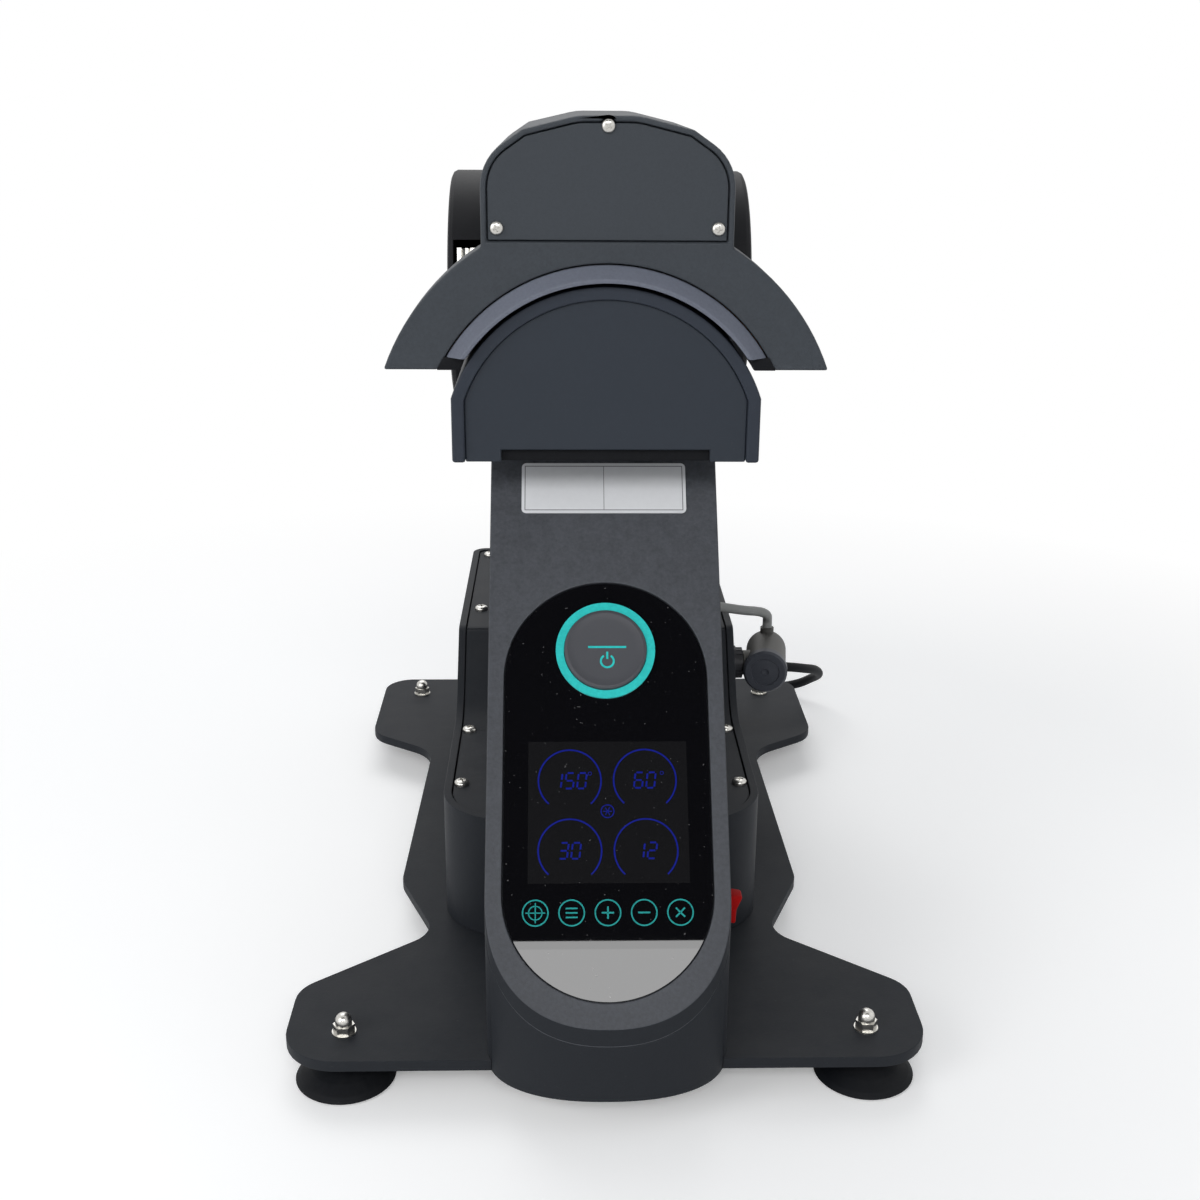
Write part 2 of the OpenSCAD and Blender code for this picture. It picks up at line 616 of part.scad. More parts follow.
module hood_plate() color([0.24, 0.24, 0.25]) difference() {
    along_y(platen_front + 1, 2.5) hood_cover_outline(2.8 + groove, plate_low);
    for (p = hood_screw_xz) rod_y(p.x, platen_front - 1, p.y, 30, 1.6);
}
module hood_screws() color([0.85, 0.85, 0.82]) for (p = hood_screw_xz)
    translate([p.x, platen_front + 1, p.y]) rotate([90, 0, 0]) screw(3.2, 1.5, 9);
arm_plate_x = tower_w / 2 + 1.5;
arm_plate_t = 6;
beam_low = arc_h + 114.5;
beam_high = beam_low + 18;
module arm_frame() color([0.35, 0.35, 0.36]) difference() {
    union() {
        for (s = [-1, 1]) along_x(s > 0 ? arm_plate_x : -arm_plate_x - arm_plate_t, arm_plate_t) {
            polygon([[hub_y - 28, hub_h + 10], [hub_y + 12, hub_h + 27], [platen_back + 2, beam_high],
                [platen_front + 9, beam_high], [platen_front + 9, beam_low], [platen_back - 6, beam_low]]);
            translate([hub_y, hub_h]) circle(r = 30);
        }
        translate([-arm_plate_x, platen_front + 9, beam_low]) cube([2 * arm_plate_x, platen_depth - 16, 8]);
    }
    rod_x(-100, hub_y, hub_h, 200, shaft_r);
    for (p = hanger_xy) translate([p.x, p.y, 0]) cylinder(h = 2 * beyond, r = 4);
}
boss_z = arc_h + sqrt(platen_out * platen_out - hanger_x * hanger_x) + 8;
module platen_hangers() color([0.7, 0.7, 0.7]) for (p = hanger_xy) translate([p.x, p.y, 0]) {
    translate([0, 0, boss_z]) cylinder(h = beam_low + 16 - boss_z, r = 3.9);
    translate([0, 0, beam_low + 8]) cylinder(h = 5, r = 7, $fn = 6);
    translate([0, 0, beam_low - 2.8]) cylinder(h = 2.8, r = 7, $fn = 6);
}
rim_out = 6;
module upper_platen() color([0.45, 0.45, 0.48]) union() {
    intersection() {
        translate([0, platen_front, arc_h]) rotate([-90, 0, 0]) rotate_extrude($fn = 180)
            polygon([[upper_r, -rim_out], [upper_r + 2, -rim_out], [platen_out, 0],
                [platen_out, platen_depth + 0.4], [upper_r, platen_depth + 0.4]]);
        union() {
            translate([-150, platen_front - 20, wing_z + 6]) cube([300, 150, 200]);
            translate([-150, platen_front + 1, wing_z]) cube([300, 150, 20]);
        }
    }
    difference() {
        for (p = hanger_xy) translate([p.x, p.y, boss_z - 20]) cylinder(h = 20, r = 7);
        along_y(platen_front - 1, platen_depth + 2) translate([0, arc_h]) circle(r = upper_r + 1);
    }
}
module sheath(r_in, r_out, margin) difference() {
    ring_sector(r_in, r_out, platen_front + margin, platen_depth - 2 * margin, wing_z + 8);
    for (p = hanger_xy) translate([p.x, p.y, 0]) cylinder(h = 2 * beyond, r = 7.4);
}
module upper_heater() color([0.7, 0.35, 0.15]) sheath(platen_out, platen_out + 1.6, 8);
module insulation() color([0.85, 0.8, 0.6]) sheath(platen_out + 1.6, platen_out + 11, 6);

// Hinge
module hinge_shaft() color([0.75, 0.75, 0.77])
    rod_x(-drum_span / 2 + shell + 2, hub_y, hub_h, drum_span - 2 * shell - 4, shaft_r);
module crank() color([0.6, 0.6, 0.62]) translate([0, hub_y, hub_h]) rotate([rest_lift, 0, 0])
    difference() {
        along_x(-6, 12) {
            circle(r = 18);
            polygon([[0, -14], [crank_len + 3, -9.5], [crank_len + 3, 9.5], [0, 14]]);
            translate([crank_len + 3, 0]) circle(r = 9.5);
        }
        rod_x(-20, 0, 0, 40, shaft_r);
        rod_x(-20, crank_len - 1, 0, 40, pin_r + 0.6);
        rod_x(-20, crank_len + 4, 0, 40, pin_r + 0.6);
        translate([-20, crank_len - 1, -pin_r - 0.6]) cube([40, 5, 2 * pin_r + 1.2]);
    }
clamp_w = 10;
module shaft_clamps() color([0.85, 0.85, 0.86]) for (s = [-1, 1])
    translate([s * (drum_span / 2 - 10.5) - clamp_w / 2, hub_y, hub_h]) rotate([166, 0, 0]) difference() {
        along_x(0, clamp_w) {
            circle(r = 20);
            translate([0, -16]) square([65, 32]);
        }
        rod_x(-1, 0, 0, clamp_w + 2, shaft_r);
        translate([clamp_w / 2, 44, -20]) cylinder(h = 40, r = 3.3);
        translate([clamp_w / 2, 66, -20]) cylinder(h = 24, r = 2.8);
    }
module drum(s) translate([0, hub_y, hub_h]) rotate([0, s * 90, 0]) rotate_extrude($fn = 144)
    polygon([[0, drum_span / 2 - shell], [drum_r - shell, drum_span / 2 - shell],
        [drum_r - shell, hood_w / 2 + 0.2], [drum_r, hood_w / 2 + 0.2], [drum_r, drum_span / 2 - 3],
        [drum_r - 1, drum_span / 2 - 1], [drum_r - 3, drum_span / 2], [0, drum_span / 2]]);
// The left drum has a window in its front, over the shaft's clamp
module hinge_cover_left() color([0.14, 0.14, 0.15]) difference() {
    drum(-1);
    translate([-drum_span / 2 + 3.5, hub_y - drum_r - 5, hub_h - 14]) cube([drum_w - 3.5, 40, 50]);
}
module hinge_cover_right() color([0.14, 0.14, 0.15]) drum(1);

// Screw drive in the tower
rod_r = 7.5;
pin_r = 4;
tube_r = 14.5;
fork_low = pin_z - 24;
tube_top = fork_low - rod_travel - 4;
motor_h = 45;
module actuator() color([0.25, 0.26, 0.28]) translate([0, pin_y, 0]) difference() {
    union() {
        translate([-17, -55, plate_z]) cube([34, 55 + tube_r, motor_h]);
        translate([0, -38, plate_z + motor_h]) cylinder(h = 70, r = 16);
        cylinder(h = tube_top, r = tube_r);
    }
    translate([0, 0, -1]) cylinder(h = plate_z + 1, r = tube_r + 1);
    translate([0, 0, plate_z + motor_h]) cylinder(h = 300, r = rod_r + running);
}
module actuator_rod() color([0.8, 0.8, 0.82]) translate([0, pin_y, 0]) difference() {
    union() {
        translate([0, 0, plate_z + motor_h + rod_travel + 5])
            cylinder(h = fork_low + 1 - plate_z - motor_h - rod_travel - 5, r = rod_r);
        translate([-13, -8, fork_low]) cube([26, 16, 33]);
    }
    translate([-6.6, -20, fork_low + 4]) cube([13.2, 40, 60]);
    rod_x(-30, 0, pin_z, 60, pin_r);
}
module drive_pin() color([0.85, 0.85, 0.87]) rod_x(-14, pin_y, pin_z, 28, pin_r);

// Heater lead on the right-hand side
socket_y = riser_high;
socket_z = plate_z + 91;
socket_x = casing_w / 2;
elbow_x = socket_x + 22;
elbow_r = 13;
elbow_yaw = 8;
// The elbow's body is turned a little, so that its back end points away from the casing
module elbow_place() translate([elbow_x, socket_y, socket_z]) rotate([0, 0, -elbow_yaw]) children();
function elbow_point(y, z) = [elbow_x + y * sin(elbow_yaw), socket_y + y * cos(elbow_yaw), socket_z + z];
module lead_socket() color([0.1, 0.1, 0.1]) difference() {
    union() {
        rod_x(socket_x, socket_y, socket_z, 2, 11);
        rod_x(socket_x - 16, socket_y, socket_z, 17, 7.6);
        rod_x(socket_x, socket_y, socket_z, 6.6, 6);
    }
    rod_x(socket_x - 12, socket_y, socket_z, 40, 4.5);
}
module coupling_ring() color([0.08, 0.08, 0.08]) difference() {
    rod_x(socket_x + 2, socket_y, socket_z, 4.2, 10);
    rod_x(socket_x + 1, socket_y, socket_z, 30, 6.1);
    for (q = [0:20:340]) translate([0, socket_y, socket_z]) rotate([q, 0, 0])
        translate([socket_x + 1, -0.6, 9.5]) cube([7, 1.2, 2]);
}
module elbow_plug() color([0.27, 0.26, 0.24]) difference() {
    union() {
        rod_x(socket_x + 3, socket_y, socket_z, 12, 4.4);
        rod_x(socket_x + 7, socket_y, socket_z, elbow_x - socket_x - 7, 8);
        elbow_place() rod_y(0, -11, 0, 34, elbow_r);
        elbow_place() translate([0, 23, 0]) sphere(r = elbow_r);
        translate(elbow_point(23, 0)) cylinder(h = elbow_r + 3, r = 4.4);
    }
    elbow_place() rod_y(0, -14, 0, 20, 9);
}
module elbow_cap() color([0.07, 0.07, 0.08]) elbow_place() translate([0, -11, 0])
    rotate([90, 0, 0]) {
        rotate_extrude() polygon([[0, -8], [8.9, -8], [8.9, 0], [14, 0], [14, 5.5], [12.6, 7],
            [9, 7], [8.6, 6.2], [2.4, 6.6], [2, 5.8], [0, 5.6]]);
    }

// A tube along points, with rings square to the path and flat ends, made of triangles
function path_dir(p, i) = unit(p[min(i + 1, len(p) - 1)] - p[max(i - 1, 0)]);
module tube(p, r, sides, up = [0, 0, 1]) {
    n = len(p);
    rings = [for (i = [0:n - 1]) let (t = path_dir(p, i), s = unit(cross(t, up)), w = cross(s, t))
        for (k = [0:sides - 1]) let (q = 360 * (k + 0.5) / sides) p[i] + r * (s * cos(q) + w * sin(q))];
    skin = [for (i = [0:n - 2], k = [0:sides - 1])
        let (a = i * sides + k, b = i * sides + (k + 1) % sides, c = a + sides, d = b + sides)
        each [[a, b, c], [b, d, c]]];
    caps = [for (k = [1:sides - 2]) each [[0, k + 1, k],
        [(n - 1) * sides, (n - 1) * sides + k, (n - 1) * sides + k + 1]]];
    polyhedron(points = rings, faces = concat(skin, caps), convexity = 10);
}
function path_len(p) = [for (i = [1:len(p) - 1]) norm(p[i] - p[i - 1])] * [for (i = [1:len(p) - 1]) 1];
heater_lead_r = 3.1;
lead_exit = elbow_point(23, elbow_r + 3);
gland_at = [tower_w / 2 + 9, tower_front_y + 12, plate_z + 136];
heater_points = [lead_exit, lead_exit + [0, 0, 5], [112.3, 79.5, 141.4], [109, 76, 144.6],
    [103.5, 72, 147], [96.5, 66, 149.6], [88, 60.5, 152.6], [79, 56, 155.6], [71, 52.5, 158.4],
    [64.5, 50, 160.4], gland_at + [4, 0, 0], gland_at];
module heater_lead() color([0.5, 0.5, 0.5]) tube(heater_points, heater_lead_r, 12, [0.1, 1, 0]);
module lead_gland() color([0.1, 0.1, 0.1]) translate([tower_w / 2, gland_at.y, gland_at.z])
    rotate([0, 90, 0]) {
        cylinder(h = 4, r = 8, $fn = 6);
        translate([0, 0, 4]) cylinder(h = 5, r1 = 6.5, r2 = 4.2);
    }

// Mains lead
inlet_y = bolt_back - 36;
inlet_z = plate_z + 36;
gland_r = 6;
relief_len = 30;
relief_end = casing_w / 2 + relief_len;
module strain_relief() color([0.05, 0.05, 0.05]) translate([casing_w / 2, inlet_y, inlet_z])
    rotate([0, 90, 0]) {
        translate([0, 0, -casing_wall - 3]) cylinder(h = casing_wall + 3, r = gland_r);
        cylinder(h = 2.5, r = gland_r + 3);
        translate([0, 0, 2.5]) cylinder(h = relief_len - 2.5, r1 = gland_r, r2 = lead_d / 2 + 0.6);
    }
turn_pitch = lead_d + 0.6;
coil_out = coil_r + turn_pitch * coil_turns;
coil_z = lead_d / 2 + 1.2;
coil_line_y = 290;
coil_y = coil_line_y + coil_out;
route = [[relief_end, inlet_y, inlet_z], [127, 192, 61], [139, 194, 60], [151, 200, 57], [162, 210, 52],
    [171, 223, 46], [177, 237, 38], [179, 251, 30], [176, 264, 22], [169, 274, 14], [158, 282, 8],
    [145, 287, 4.6], [130, 289, 4.3], [112, 290, 4.7], [92, 290, 4.7], [70, 290, 4.7], [48, 290, 4.7],
    [28, 290, 4.7], [lead_d, coil_line_y, coil_z]];
module mains_lead() color([0.04, 0.04, 0.04]) tube(route, lead_d / 2, 10);
// The coil spirals in, climbs one layer in half a turn and spirals out again
coil_total = 2 * coil_turns + 0.5;
lead_tail = 4 * lead_d;
function coil_radius(t) = coil_r + turn_pitch * (abs(t - coil_turns - 0.25) - 0.25);
function climb(t) = let (s = max(0, min(1, (t - coil_turns) * 2))) s * s * (3 - 2 * s);
function coil_point(t) = let (q = -90 - 360 * t)
    [coil_radius(t) * cos(q), coil_y + coil_radius(t) * sin(q), coil_z + turn_pitch * climb(t)];
coil_path = concat([[lead_d, coil_line_y, coil_z]],
    [for (i = [0:24 * coil_total]) coil_point(i / 24)],
    [[lead_tail, coil_y + coil_out, coil_z + turn_pitch]]);
coil_gap = min([for (i = [0:len(coil_path) - 14], j = [i + 13:len(coil_path) - 1])
    norm(coil_path[i] - coil_path[j])]) - lead_d;
echo(coil_gap = coil_gap, coil_len = path_len(coil_path), lead_len = path_len(route));
module mains_coil() color([0.04, 0.04, 0.04]) tube(coil_path, lead_d / 2, 6);
plug_z = coil_z + turn_pitch;
module mains_plug() color([0.05, 0.05, 0.05])
    translate([lead_tail, coil_y + coil_out, plug_z]) rotate([0, 90, 0]) {
        cylinder(h = 14, r1 = lead_d / 2 + 0.5, r2 = 7);
        translate([0, 0, 14]) linear_extrude(30) polygon(rounded([for (p = [[-1, -1], [1, -1], [1, 1],
            [-1, 1]]) [p.x * (plug_z - 0.3), p.y * 13, 5]]));
        for (y = [-6.3, 6.3]) translate([-3.2 - 1, y - 0.8, 44]) cube([6.4, 1.6, 17]);
        translate([4.5, 0, 44]) cylinder(h = 19, r = 2.4);
    }
tie_w = 14;
module lead_tie() color([0.1, 0.1, 0.1]) translate([0, coil_y, 0]) rotate([0, 0, 150])
    translate([coil_r - lead_d / 2 - 3.4, -tie_w / 2, 0]) difference() {
        cube([coil_out - coil_r + lead_d + 5, tie_w, 2 * turn_pitch + 4]);
        translate([0.9, -1, 0.9]) cube([coil_out - coil_r + lead_d + 3.2, tie_w + 2, 2 * turn_pitch + 2.2]);
    }

base_plate();
suction_feet();
foot_bolts();
foot_nuts();
column_casing();
face_frame();
panel_glass();
display();
control_board();
board_standoffs();
start_ring();
start_switch();
start_button();
rating_plate();
switch_frame();
power_rocker();
power_supply();
rear_casing();
deck_cover();
rear_cover();
cover_screws();
tower_left();
tower_right();
tower_front();
tower_back();
tower_bolts();
hinge_bushes();
platen_neck();
lower_platen();
lower_heater();
lower_pad();
front_end_plate();
back_end_plate();
upper_housing();
hood_plate();
hood_screws();
arm_frame();
platen_hangers();
upper_platen();
upper_heater();
insulation();
hinge_shaft();
crank();
shaft_clamps();
hinge_cover_left();
hinge_cover_right();
actuator();
actuator_rod();
drive_pin();
lead_socket();
coupling_ring();
elbow_plug();
elbow_cap();
heater_lead();
lead_gland();
strain_relief();
mains_lead();
mains_coil();
mains_plug();
lead_tie();
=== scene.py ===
import json
from math import atan2, cos, exp, pi, radians, sin

import bmesh
import bpy
from bpy.props import FloatProperty, FloatVectorProperty, IntProperty, PointerProperty
from bpy.types import NodeSocket, Operator, Panel, PropertyGroup
from mathutils import Matrix, Vector


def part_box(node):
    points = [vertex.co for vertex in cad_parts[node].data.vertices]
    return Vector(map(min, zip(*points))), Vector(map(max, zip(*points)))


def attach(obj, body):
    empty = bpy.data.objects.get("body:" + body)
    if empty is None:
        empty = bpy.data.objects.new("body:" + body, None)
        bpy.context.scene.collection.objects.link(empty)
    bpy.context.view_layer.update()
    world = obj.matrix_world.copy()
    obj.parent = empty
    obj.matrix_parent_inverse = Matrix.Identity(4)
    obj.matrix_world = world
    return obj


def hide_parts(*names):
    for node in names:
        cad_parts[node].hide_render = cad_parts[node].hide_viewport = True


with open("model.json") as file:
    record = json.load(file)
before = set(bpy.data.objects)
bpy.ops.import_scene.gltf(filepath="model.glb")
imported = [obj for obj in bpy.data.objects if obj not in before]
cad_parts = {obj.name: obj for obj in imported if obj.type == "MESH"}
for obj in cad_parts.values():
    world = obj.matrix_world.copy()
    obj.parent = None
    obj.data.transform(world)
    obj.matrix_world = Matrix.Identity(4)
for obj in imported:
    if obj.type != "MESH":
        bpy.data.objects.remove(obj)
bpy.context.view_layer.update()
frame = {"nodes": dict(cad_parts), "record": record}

bl_info = {
    "name": "Cap Heat Press",
    "version": (1, 0, 0),
    "blender": (4, 5, 0),
    "location": "View3D > Sidebar > Cap Press",
    "description": "Dresses the packed cap heat press and lights it on a plain floor",
    "category": "Object",
}

NODES = frame["nodes"]
MM = 0.001


def at(place, turn=0.0, axis="Z"):
    """A place with a turn about one axis."""
    return Matrix.Translation(place) @ Matrix.Rotation(turn, 4, axis)


def low(node):
    """Lowest corner of a CAD node."""
    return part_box(node)[0]


# The sloping face of the column: X across, Y up the slope, Z out of it
FACE = at((0, -0.257, 0.059), radians(52), "X")
GLASS_TOP = -0.0008


# Sizes and colours


def length(name, description, default, least=0.0):
    """A length property in metres."""
    return FloatProperty(name=name, description=description, default=default, min=least, unit="LENGTH")


class PressSizes(PropertyGroup):
    """Sizes that change the dressed press."""

    cast_round: length("Casting rounding", "Edge radius of the arm's casting", 0.0012)
    sheet_round: length("Sheet rounding", "Edge radius of the folded sheet casings", 0.0005)
    pad_round: length("Pad rounding", "Edge radius of the silicone pad", 0.0013)
    print_thickness: length("Print thickness", "Thickness of the marks on the glass", 0.00004, 0.00001)
    mark_line: length("Mark line", "Line width of the key marks", 0.00065, 0.0002)
    gauge_radius: length("Gauge radius", "Radius of the display's open circles", 0.0152, 0.005)
    cord_diameter: length("Cord diameter", "Diameter of the mains cord", 0.007, 0.004)
    coil_turns: IntProperty(name="Coil turns", description="Turns in each layer of the stored coil",
                            default=3, min=1, max=3)
    floor_size: length("Floor size", "Width of the floor", 30.0, 2.0)
    lens: FloatProperty(name="Lens", description="Focal length in millimetres", default=45.0, min=10.0)


def paint(name, description, colour):
    """A colour property in linear values."""
    return FloatVectorProperty(name=name, description=description, default=colour, size=3,
                               min=0.0, max=1.0, subtype="COLOR")


class PressColours(PropertyGroup):
    """Colours of the press's finishes."""

    powder: paint("Black powder coat", "Casings, column and base plate", (0.0165, 0.0188, 0.0230))
    cast_powder: paint("Casting powder coat", "The arm's casting", (0.036, 0.042, 0.050))
    grey_powder: paint("Grey powder coat", "The face frame", (0.053, 0.057, 0.066))
    enamel: paint("Black enamel", "Smooth dark plates", (0.021, 0.027, 0.037))
    bare_casting: paint("Cast aluminium", "The upper platen's rim", (0.125, 0.137, 0.172))
    silicone: paint("Black silicone", "The pad round the lower platen", (0.025, 0.031, 0.043))
    rubber: paint("Black rubber", "Feet, cord and plug", (0.0045, 0.0055, 0.0075))
    plastic: paint("Black plastic", "Cap, gland and switch frame", (0.016, 0.017, 0.021))
    elbow: paint("Elbow plastic", "The heater plug's body", (0.072, 0.071, 0.066))
    lead: paint("Grey lead", "The heater's lead", (0.23, 0.235, 0.23))
    glass: paint("Panel glass", "The black glass", (0.004, 0.004, 0.005))
    display: paint("Display window", "The display behind the glass", (0.010, 0.010, 0.011))
    digits: paint("Display blue", "Lit digits and open circles", (0.002, 0.006, 0.140))
    teal: paint("Teal", "Ring and key marks", (0.022, 0.36, 0.345))
    button: paint("Button grey", "The start button's cap", (0.062, 0.064, 0.073))
    rocker: paint("Rocker red", "The power switch", (0.36, 0.006, 0.006))
    label: paint("Label white", "The bare label", (0.70, 0.71, 0.73))
    steel: paint("Bright steel", "Bolts, screws and shafts", (0.56, 0.55, 0.52))


def sizes():
    return bpy.context.scene.press_sizes


def colours():
    return bpy.context.scene.press_colours


# Node groups that several finishes use


def new_group(name, inputs, *outputs):
    """A shader group of float sockets, with its inputs as {name: default} and its outputs by name."""
    group = bpy.data.node_groups.new(name, "ShaderNodeTree")
    for label, value in inputs.items():
        socket = group.interface.new_socket(name=label, in_out="INPUT", socket_type="NodeSocketFloat")
        socket.default_value = value
    for label in outputs:
        group.interface.new_socket(name=label, in_out="OUTPUT", socket_type="NodeSocketFloat")
    return group, group.nodes.new("NodeGroupInput").outputs, group.nodes.new("NodeGroupOutput")


def fill(tree, made, values):
    """Links or sets each of the node's inputs that values names."""
    for key, value in values.items():
        if isinstance(value, NodeSocket):
            tree.links.new(value, made.inputs[key])
        else:
            made.inputs[key].default_value = value
    return made


def node(tree, kind, values=None, **settings):
    """A node with its settings, and a socket value or link for each entry of values."""
    made = tree.nodes.new(kind)
    for key, value in settings.items():
        setattr(made, key, value)
    return fill(tree, made, values or {})


def plus(tree, a, b, clamp=False):
    return node(tree, "ShaderNodeMath", {0: a, 1: b}, operation="ADD", use_clamp=clamp).outputs[0]


def times(tree, a, b, clamp=False):
    return node(tree, "ShaderNodeMath", {0: a, 1: b}, operation="MULTIPLY", use_clamp=clamp).outputs[0]


def ranged(tree, value, start, end):
    """Goes from 0 to 1 as the value goes from start to end."""
    return node(tree, "ShaderNodeMapRange", {"Value": value, "From Min": start, "From Max": end},
                clamp=True).outputs[0]


def object_place(tree):
    return node(tree, "ShaderNodeTexCoord").outputs["Object"]


def noise(tree, vector, scale, detail=2.0, rough=0.5):
    return node(tree, "ShaderNodeTexNoise", {"Vector": vector, "Scale": scale, "Detail": detail,
                                             "Roughness": rough}).outputs["Fac"]


def grain_group():
    """Powder coat or moulded texture: fine bumps and a slow drift of tone."""
    group, given, end = new_group("Coat grain", {"Grain per metre": 900.0, "Patch per metre": 14.0},
                                  "Height", "Tone")
    place, grain = object_place(group), given["Grain per metre"]
    fine = noise(group, place, grain, 3.0, 0.6)
    coarse = noise(group, place, times(group, grain, 0.31), 1.0)
    patch = noise(group, place, given["Patch per metre"], 3.0)
    speck = times(group, plus(group, fine, -0.5), 0.9)
    drift = plus(group, times(group, patch, 0.45), 0.275)
    fill(group, end, {"Height": plus(group, times(group, fine, 0.65), times(group, coarse, 0.35)),
                      "Tone": plus(group, speck, drift, True)})
    return group


def dust_group():
    """A mask for dust that settles on what faces up, in soft patches with a few specks."""
    group, given, end = new_group("Settled dust", {"Amount": 0.3, "Patch per metre": 22.0}, "Mask")
    place = object_place(group)
    normal = node(group, "ShaderNodeNewGeometry").outputs["Normal"]
    up = ranged(group, node(group, "ShaderNodeSeparateXYZ", {0: normal}).outputs["Z"], 0.1, 1.0)
    patch = ranged(group, noise(group, place, given["Patch per metre"], 5.0, 0.65), 0.35, 0.75)
    speck = ranged(group, noise(group, place, 700.0, 1.0), 0.74, 0.80)
    laid = plus(group, times(group, up, patch), times(group, speck, 0.8))
    fill(group, end, {"Mask": times(group, laid, given["Amount"], True)})
    return group


def edge_wear_and_highlight_group():
    """A mask for edges, broken up by noise: rubbed wear there, and a painted edge highlight."""
    group, given, end = new_group("Edge wear and highlight", {"Amount": 0.5, "Break per metre": 160.0}, "Mask")
    edge = ranged(group, node(group, "ShaderNodeNewGeometry").outputs["Pointiness"], 0.53, 0.62)
    breakup_noise = noise(group, object_place(group), given["Break per metre"], 4.0, 0.7)
    broken = times(group, edge, ranged(group, breakup_noise, 0.4, 0.62))
    fill(group, end, {"Mask": times(group, broken, given["Amount"], True)})
    return group


def machined_group():
    """Fine turned or brushed lines for metal, drawn along one axis by the stretch inputs."""
    stretch = {"X per metre": 60.0, "Y per metre": 60.0, "Z per metre": 2400.0}
    group, given, end = new_group("Machined lines", stretch, "Height", "Tone")
    place = object_place(group)
    scale = node(group, "ShaderNodeCombineXYZ", {axis: given[axis] for axis in range(3)}).outputs[0]
    drawn = node(group, "ShaderNodeVectorMath", {0: place, 1: scale}, operation="MULTIPLY").outputs[0]
    line = noise(group, drawn, 1.0, 2.0)
    stain = noise(group, place, 90.0, 3.0)
    fill(group, end, {"Height": line, "Tone": plus(group, times(group, line, 0.5),
                                                   times(group, stain, 0.5))})
    return group


GROUP_MAKERS = {"Coat grain": grain_group, "Settled dust": dust_group, "Edge wear and highlight": edge_wear_and_highlight_group,
                "Machined lines": machined_group}


def shared(tree, name, values):
    """The outputs of the group of that name, which is made on its first use."""
    group = bpy.data.node_groups.get(name) or GROUP_MAKERS[name]()
    return fill(tree, node(tree, "ShaderNodeGroup", node_tree=group), values).outputs


# Finishes


def shade(colour, factor):
    return (*[min(1.0, c * factor) for c in colour], 1.0)


def blank_material(name):
    material = bpy.data.materials.new(name)
    material.use_nodes = True
    tree = material.node_tree
    tree.nodes.clear()
    shader = node(tree, "ShaderNodeBsdfPrincipled")
    node(tree, "ShaderNodeOutputMaterial", {"Surface": shader.outputs[0]})
    return material, tree, shader


def mix_colour(tree, mask, first, second):
    return node(tree, "ShaderNodeMix", {0: mask, 6: first, 7: second}, data_type="RGBA").outputs[2]


def toned(tree, tone, colour, spread):
    """The colour, darker and lighter by that share as the tone goes from 0 to 1."""
    return mix_colour(tree, tone, shade(colour, 1 - spread), shade(colour, 1 + spread))


def bump(tree, height, relief):
    """A normal for a relief of that many millimetres."""
    return node(tree, "ShaderNodeBump", {"Strength": 1.0, "Distance": relief * MM,
                                         "Height": height}).outputs[0]


DUST = (0.30, 0.29, 0.28, 1.0)


def coated(name, colour, rough, grain=900.0, relief=0.15, spread=0.22, dust=0.10, edge_wear_and_highlight=0.0, patch=14.0,
           specular=0.25, sheen=0.0):
    """A painted, moulded or rubber surface: grain in its bump, tone and gloss, dust, and edges lightened as
    rubbed wear and as a painted edge highlight.
    """
    material, tree, shader = blank_material(name)
    made = shared(tree, "Coat grain", {"Grain per metre": grain, "Patch per metre": patch})
    base = toned(tree, made["Tone"], colour, spread)
    # Edges lighten to 3.2 times the colour: partly rubbed wear, partly a painted edge highlight.
    if edge_wear_and_highlight:
        base = mix_colour(tree, shared(tree, "Edge wear and highlight", {"Amount": edge_wear_and_highlight})["Mask"], base, shade(colour, 3.2))
    dusty = shared(tree, "Settled dust", {"Amount": dust})["Mask"]
    gloss = plus(tree, times(tree, made["Tone"], 0.16), rough - 0.08)
    fill(tree, shader, {"Base Color": mix_colour(tree, dusty, base, DUST),
                        "Roughness": plus(tree, gloss, times(tree, dusty, 0.3), True),
                        "Specular IOR Level": specular, "Sheen Weight": sheen, "Sheen Roughness": 0.4,
                        "Normal": bump(tree, made["Height"], relief)})
    return material


def metal(name, colour, rough, lines=(60.0, 60.0, 2400.0), relief=0.02, spread=0.12):
    """Machined or rolled metal with fine lines and slight stains."""
    material, tree, shader = blank_material(name)
    made = shared(tree, "Machined lines", dict(enumerate(lines)))
    fill(tree, shader, {"Base Color": toned(tree, made["Tone"], colour, spread), "Metallic": 1.0,
                        "Roughness": plus(tree, times(tree, made["Tone"], 0.24), rough - 0.12, True),
                        "Normal": bump(tree, made["Height"], relief)})
    return material


def lit(name, colour, strength):
    """A lamp or a printed mark that glows a little, unevenly as a film over diodes does."""
    material, tree, shader = blank_material(name)
    tone = shared(tree, "Coat grain", {"Grain per metre": 600.0, "Patch per metre": 160.0})["Tone"]
    glow = mix_colour(tree, tone, shade(colour, 0.72), shade(colour, 1.22))
    fill(tree, shader, {"Base Color": glow, "Emission Color": glow, "Emission Strength": strength,
                        "Roughness": plus(tree, times(tree, tone, 0.1), 0.35),
                        "Specular IOR Level": 0.05})
    return material


def glossy_black(name, colour, rough):
    """Back-painted glass: nearly black, with faint wiping marks in its gloss."""
    material, tree, shader = blank_material(name)
    place = object_place(tree)
    smear = noise(tree, place, 34.0, 5.0, 0.7)
    speck = ranged(tree, noise(tree, place, 620.0, 1.0), 0.765, 0.79)
    base = mix_colour(tree, times(tree, speck, 0.35), shade(colour, 1.0), (0.25, 0.25, 0.25, 1.0))
    fill(tree, shader, {"Base Color": base, "IOR": 1.5,
                        "Roughness": plus(tree, times(tree, smear, 0.012), rough, True)})
    return material


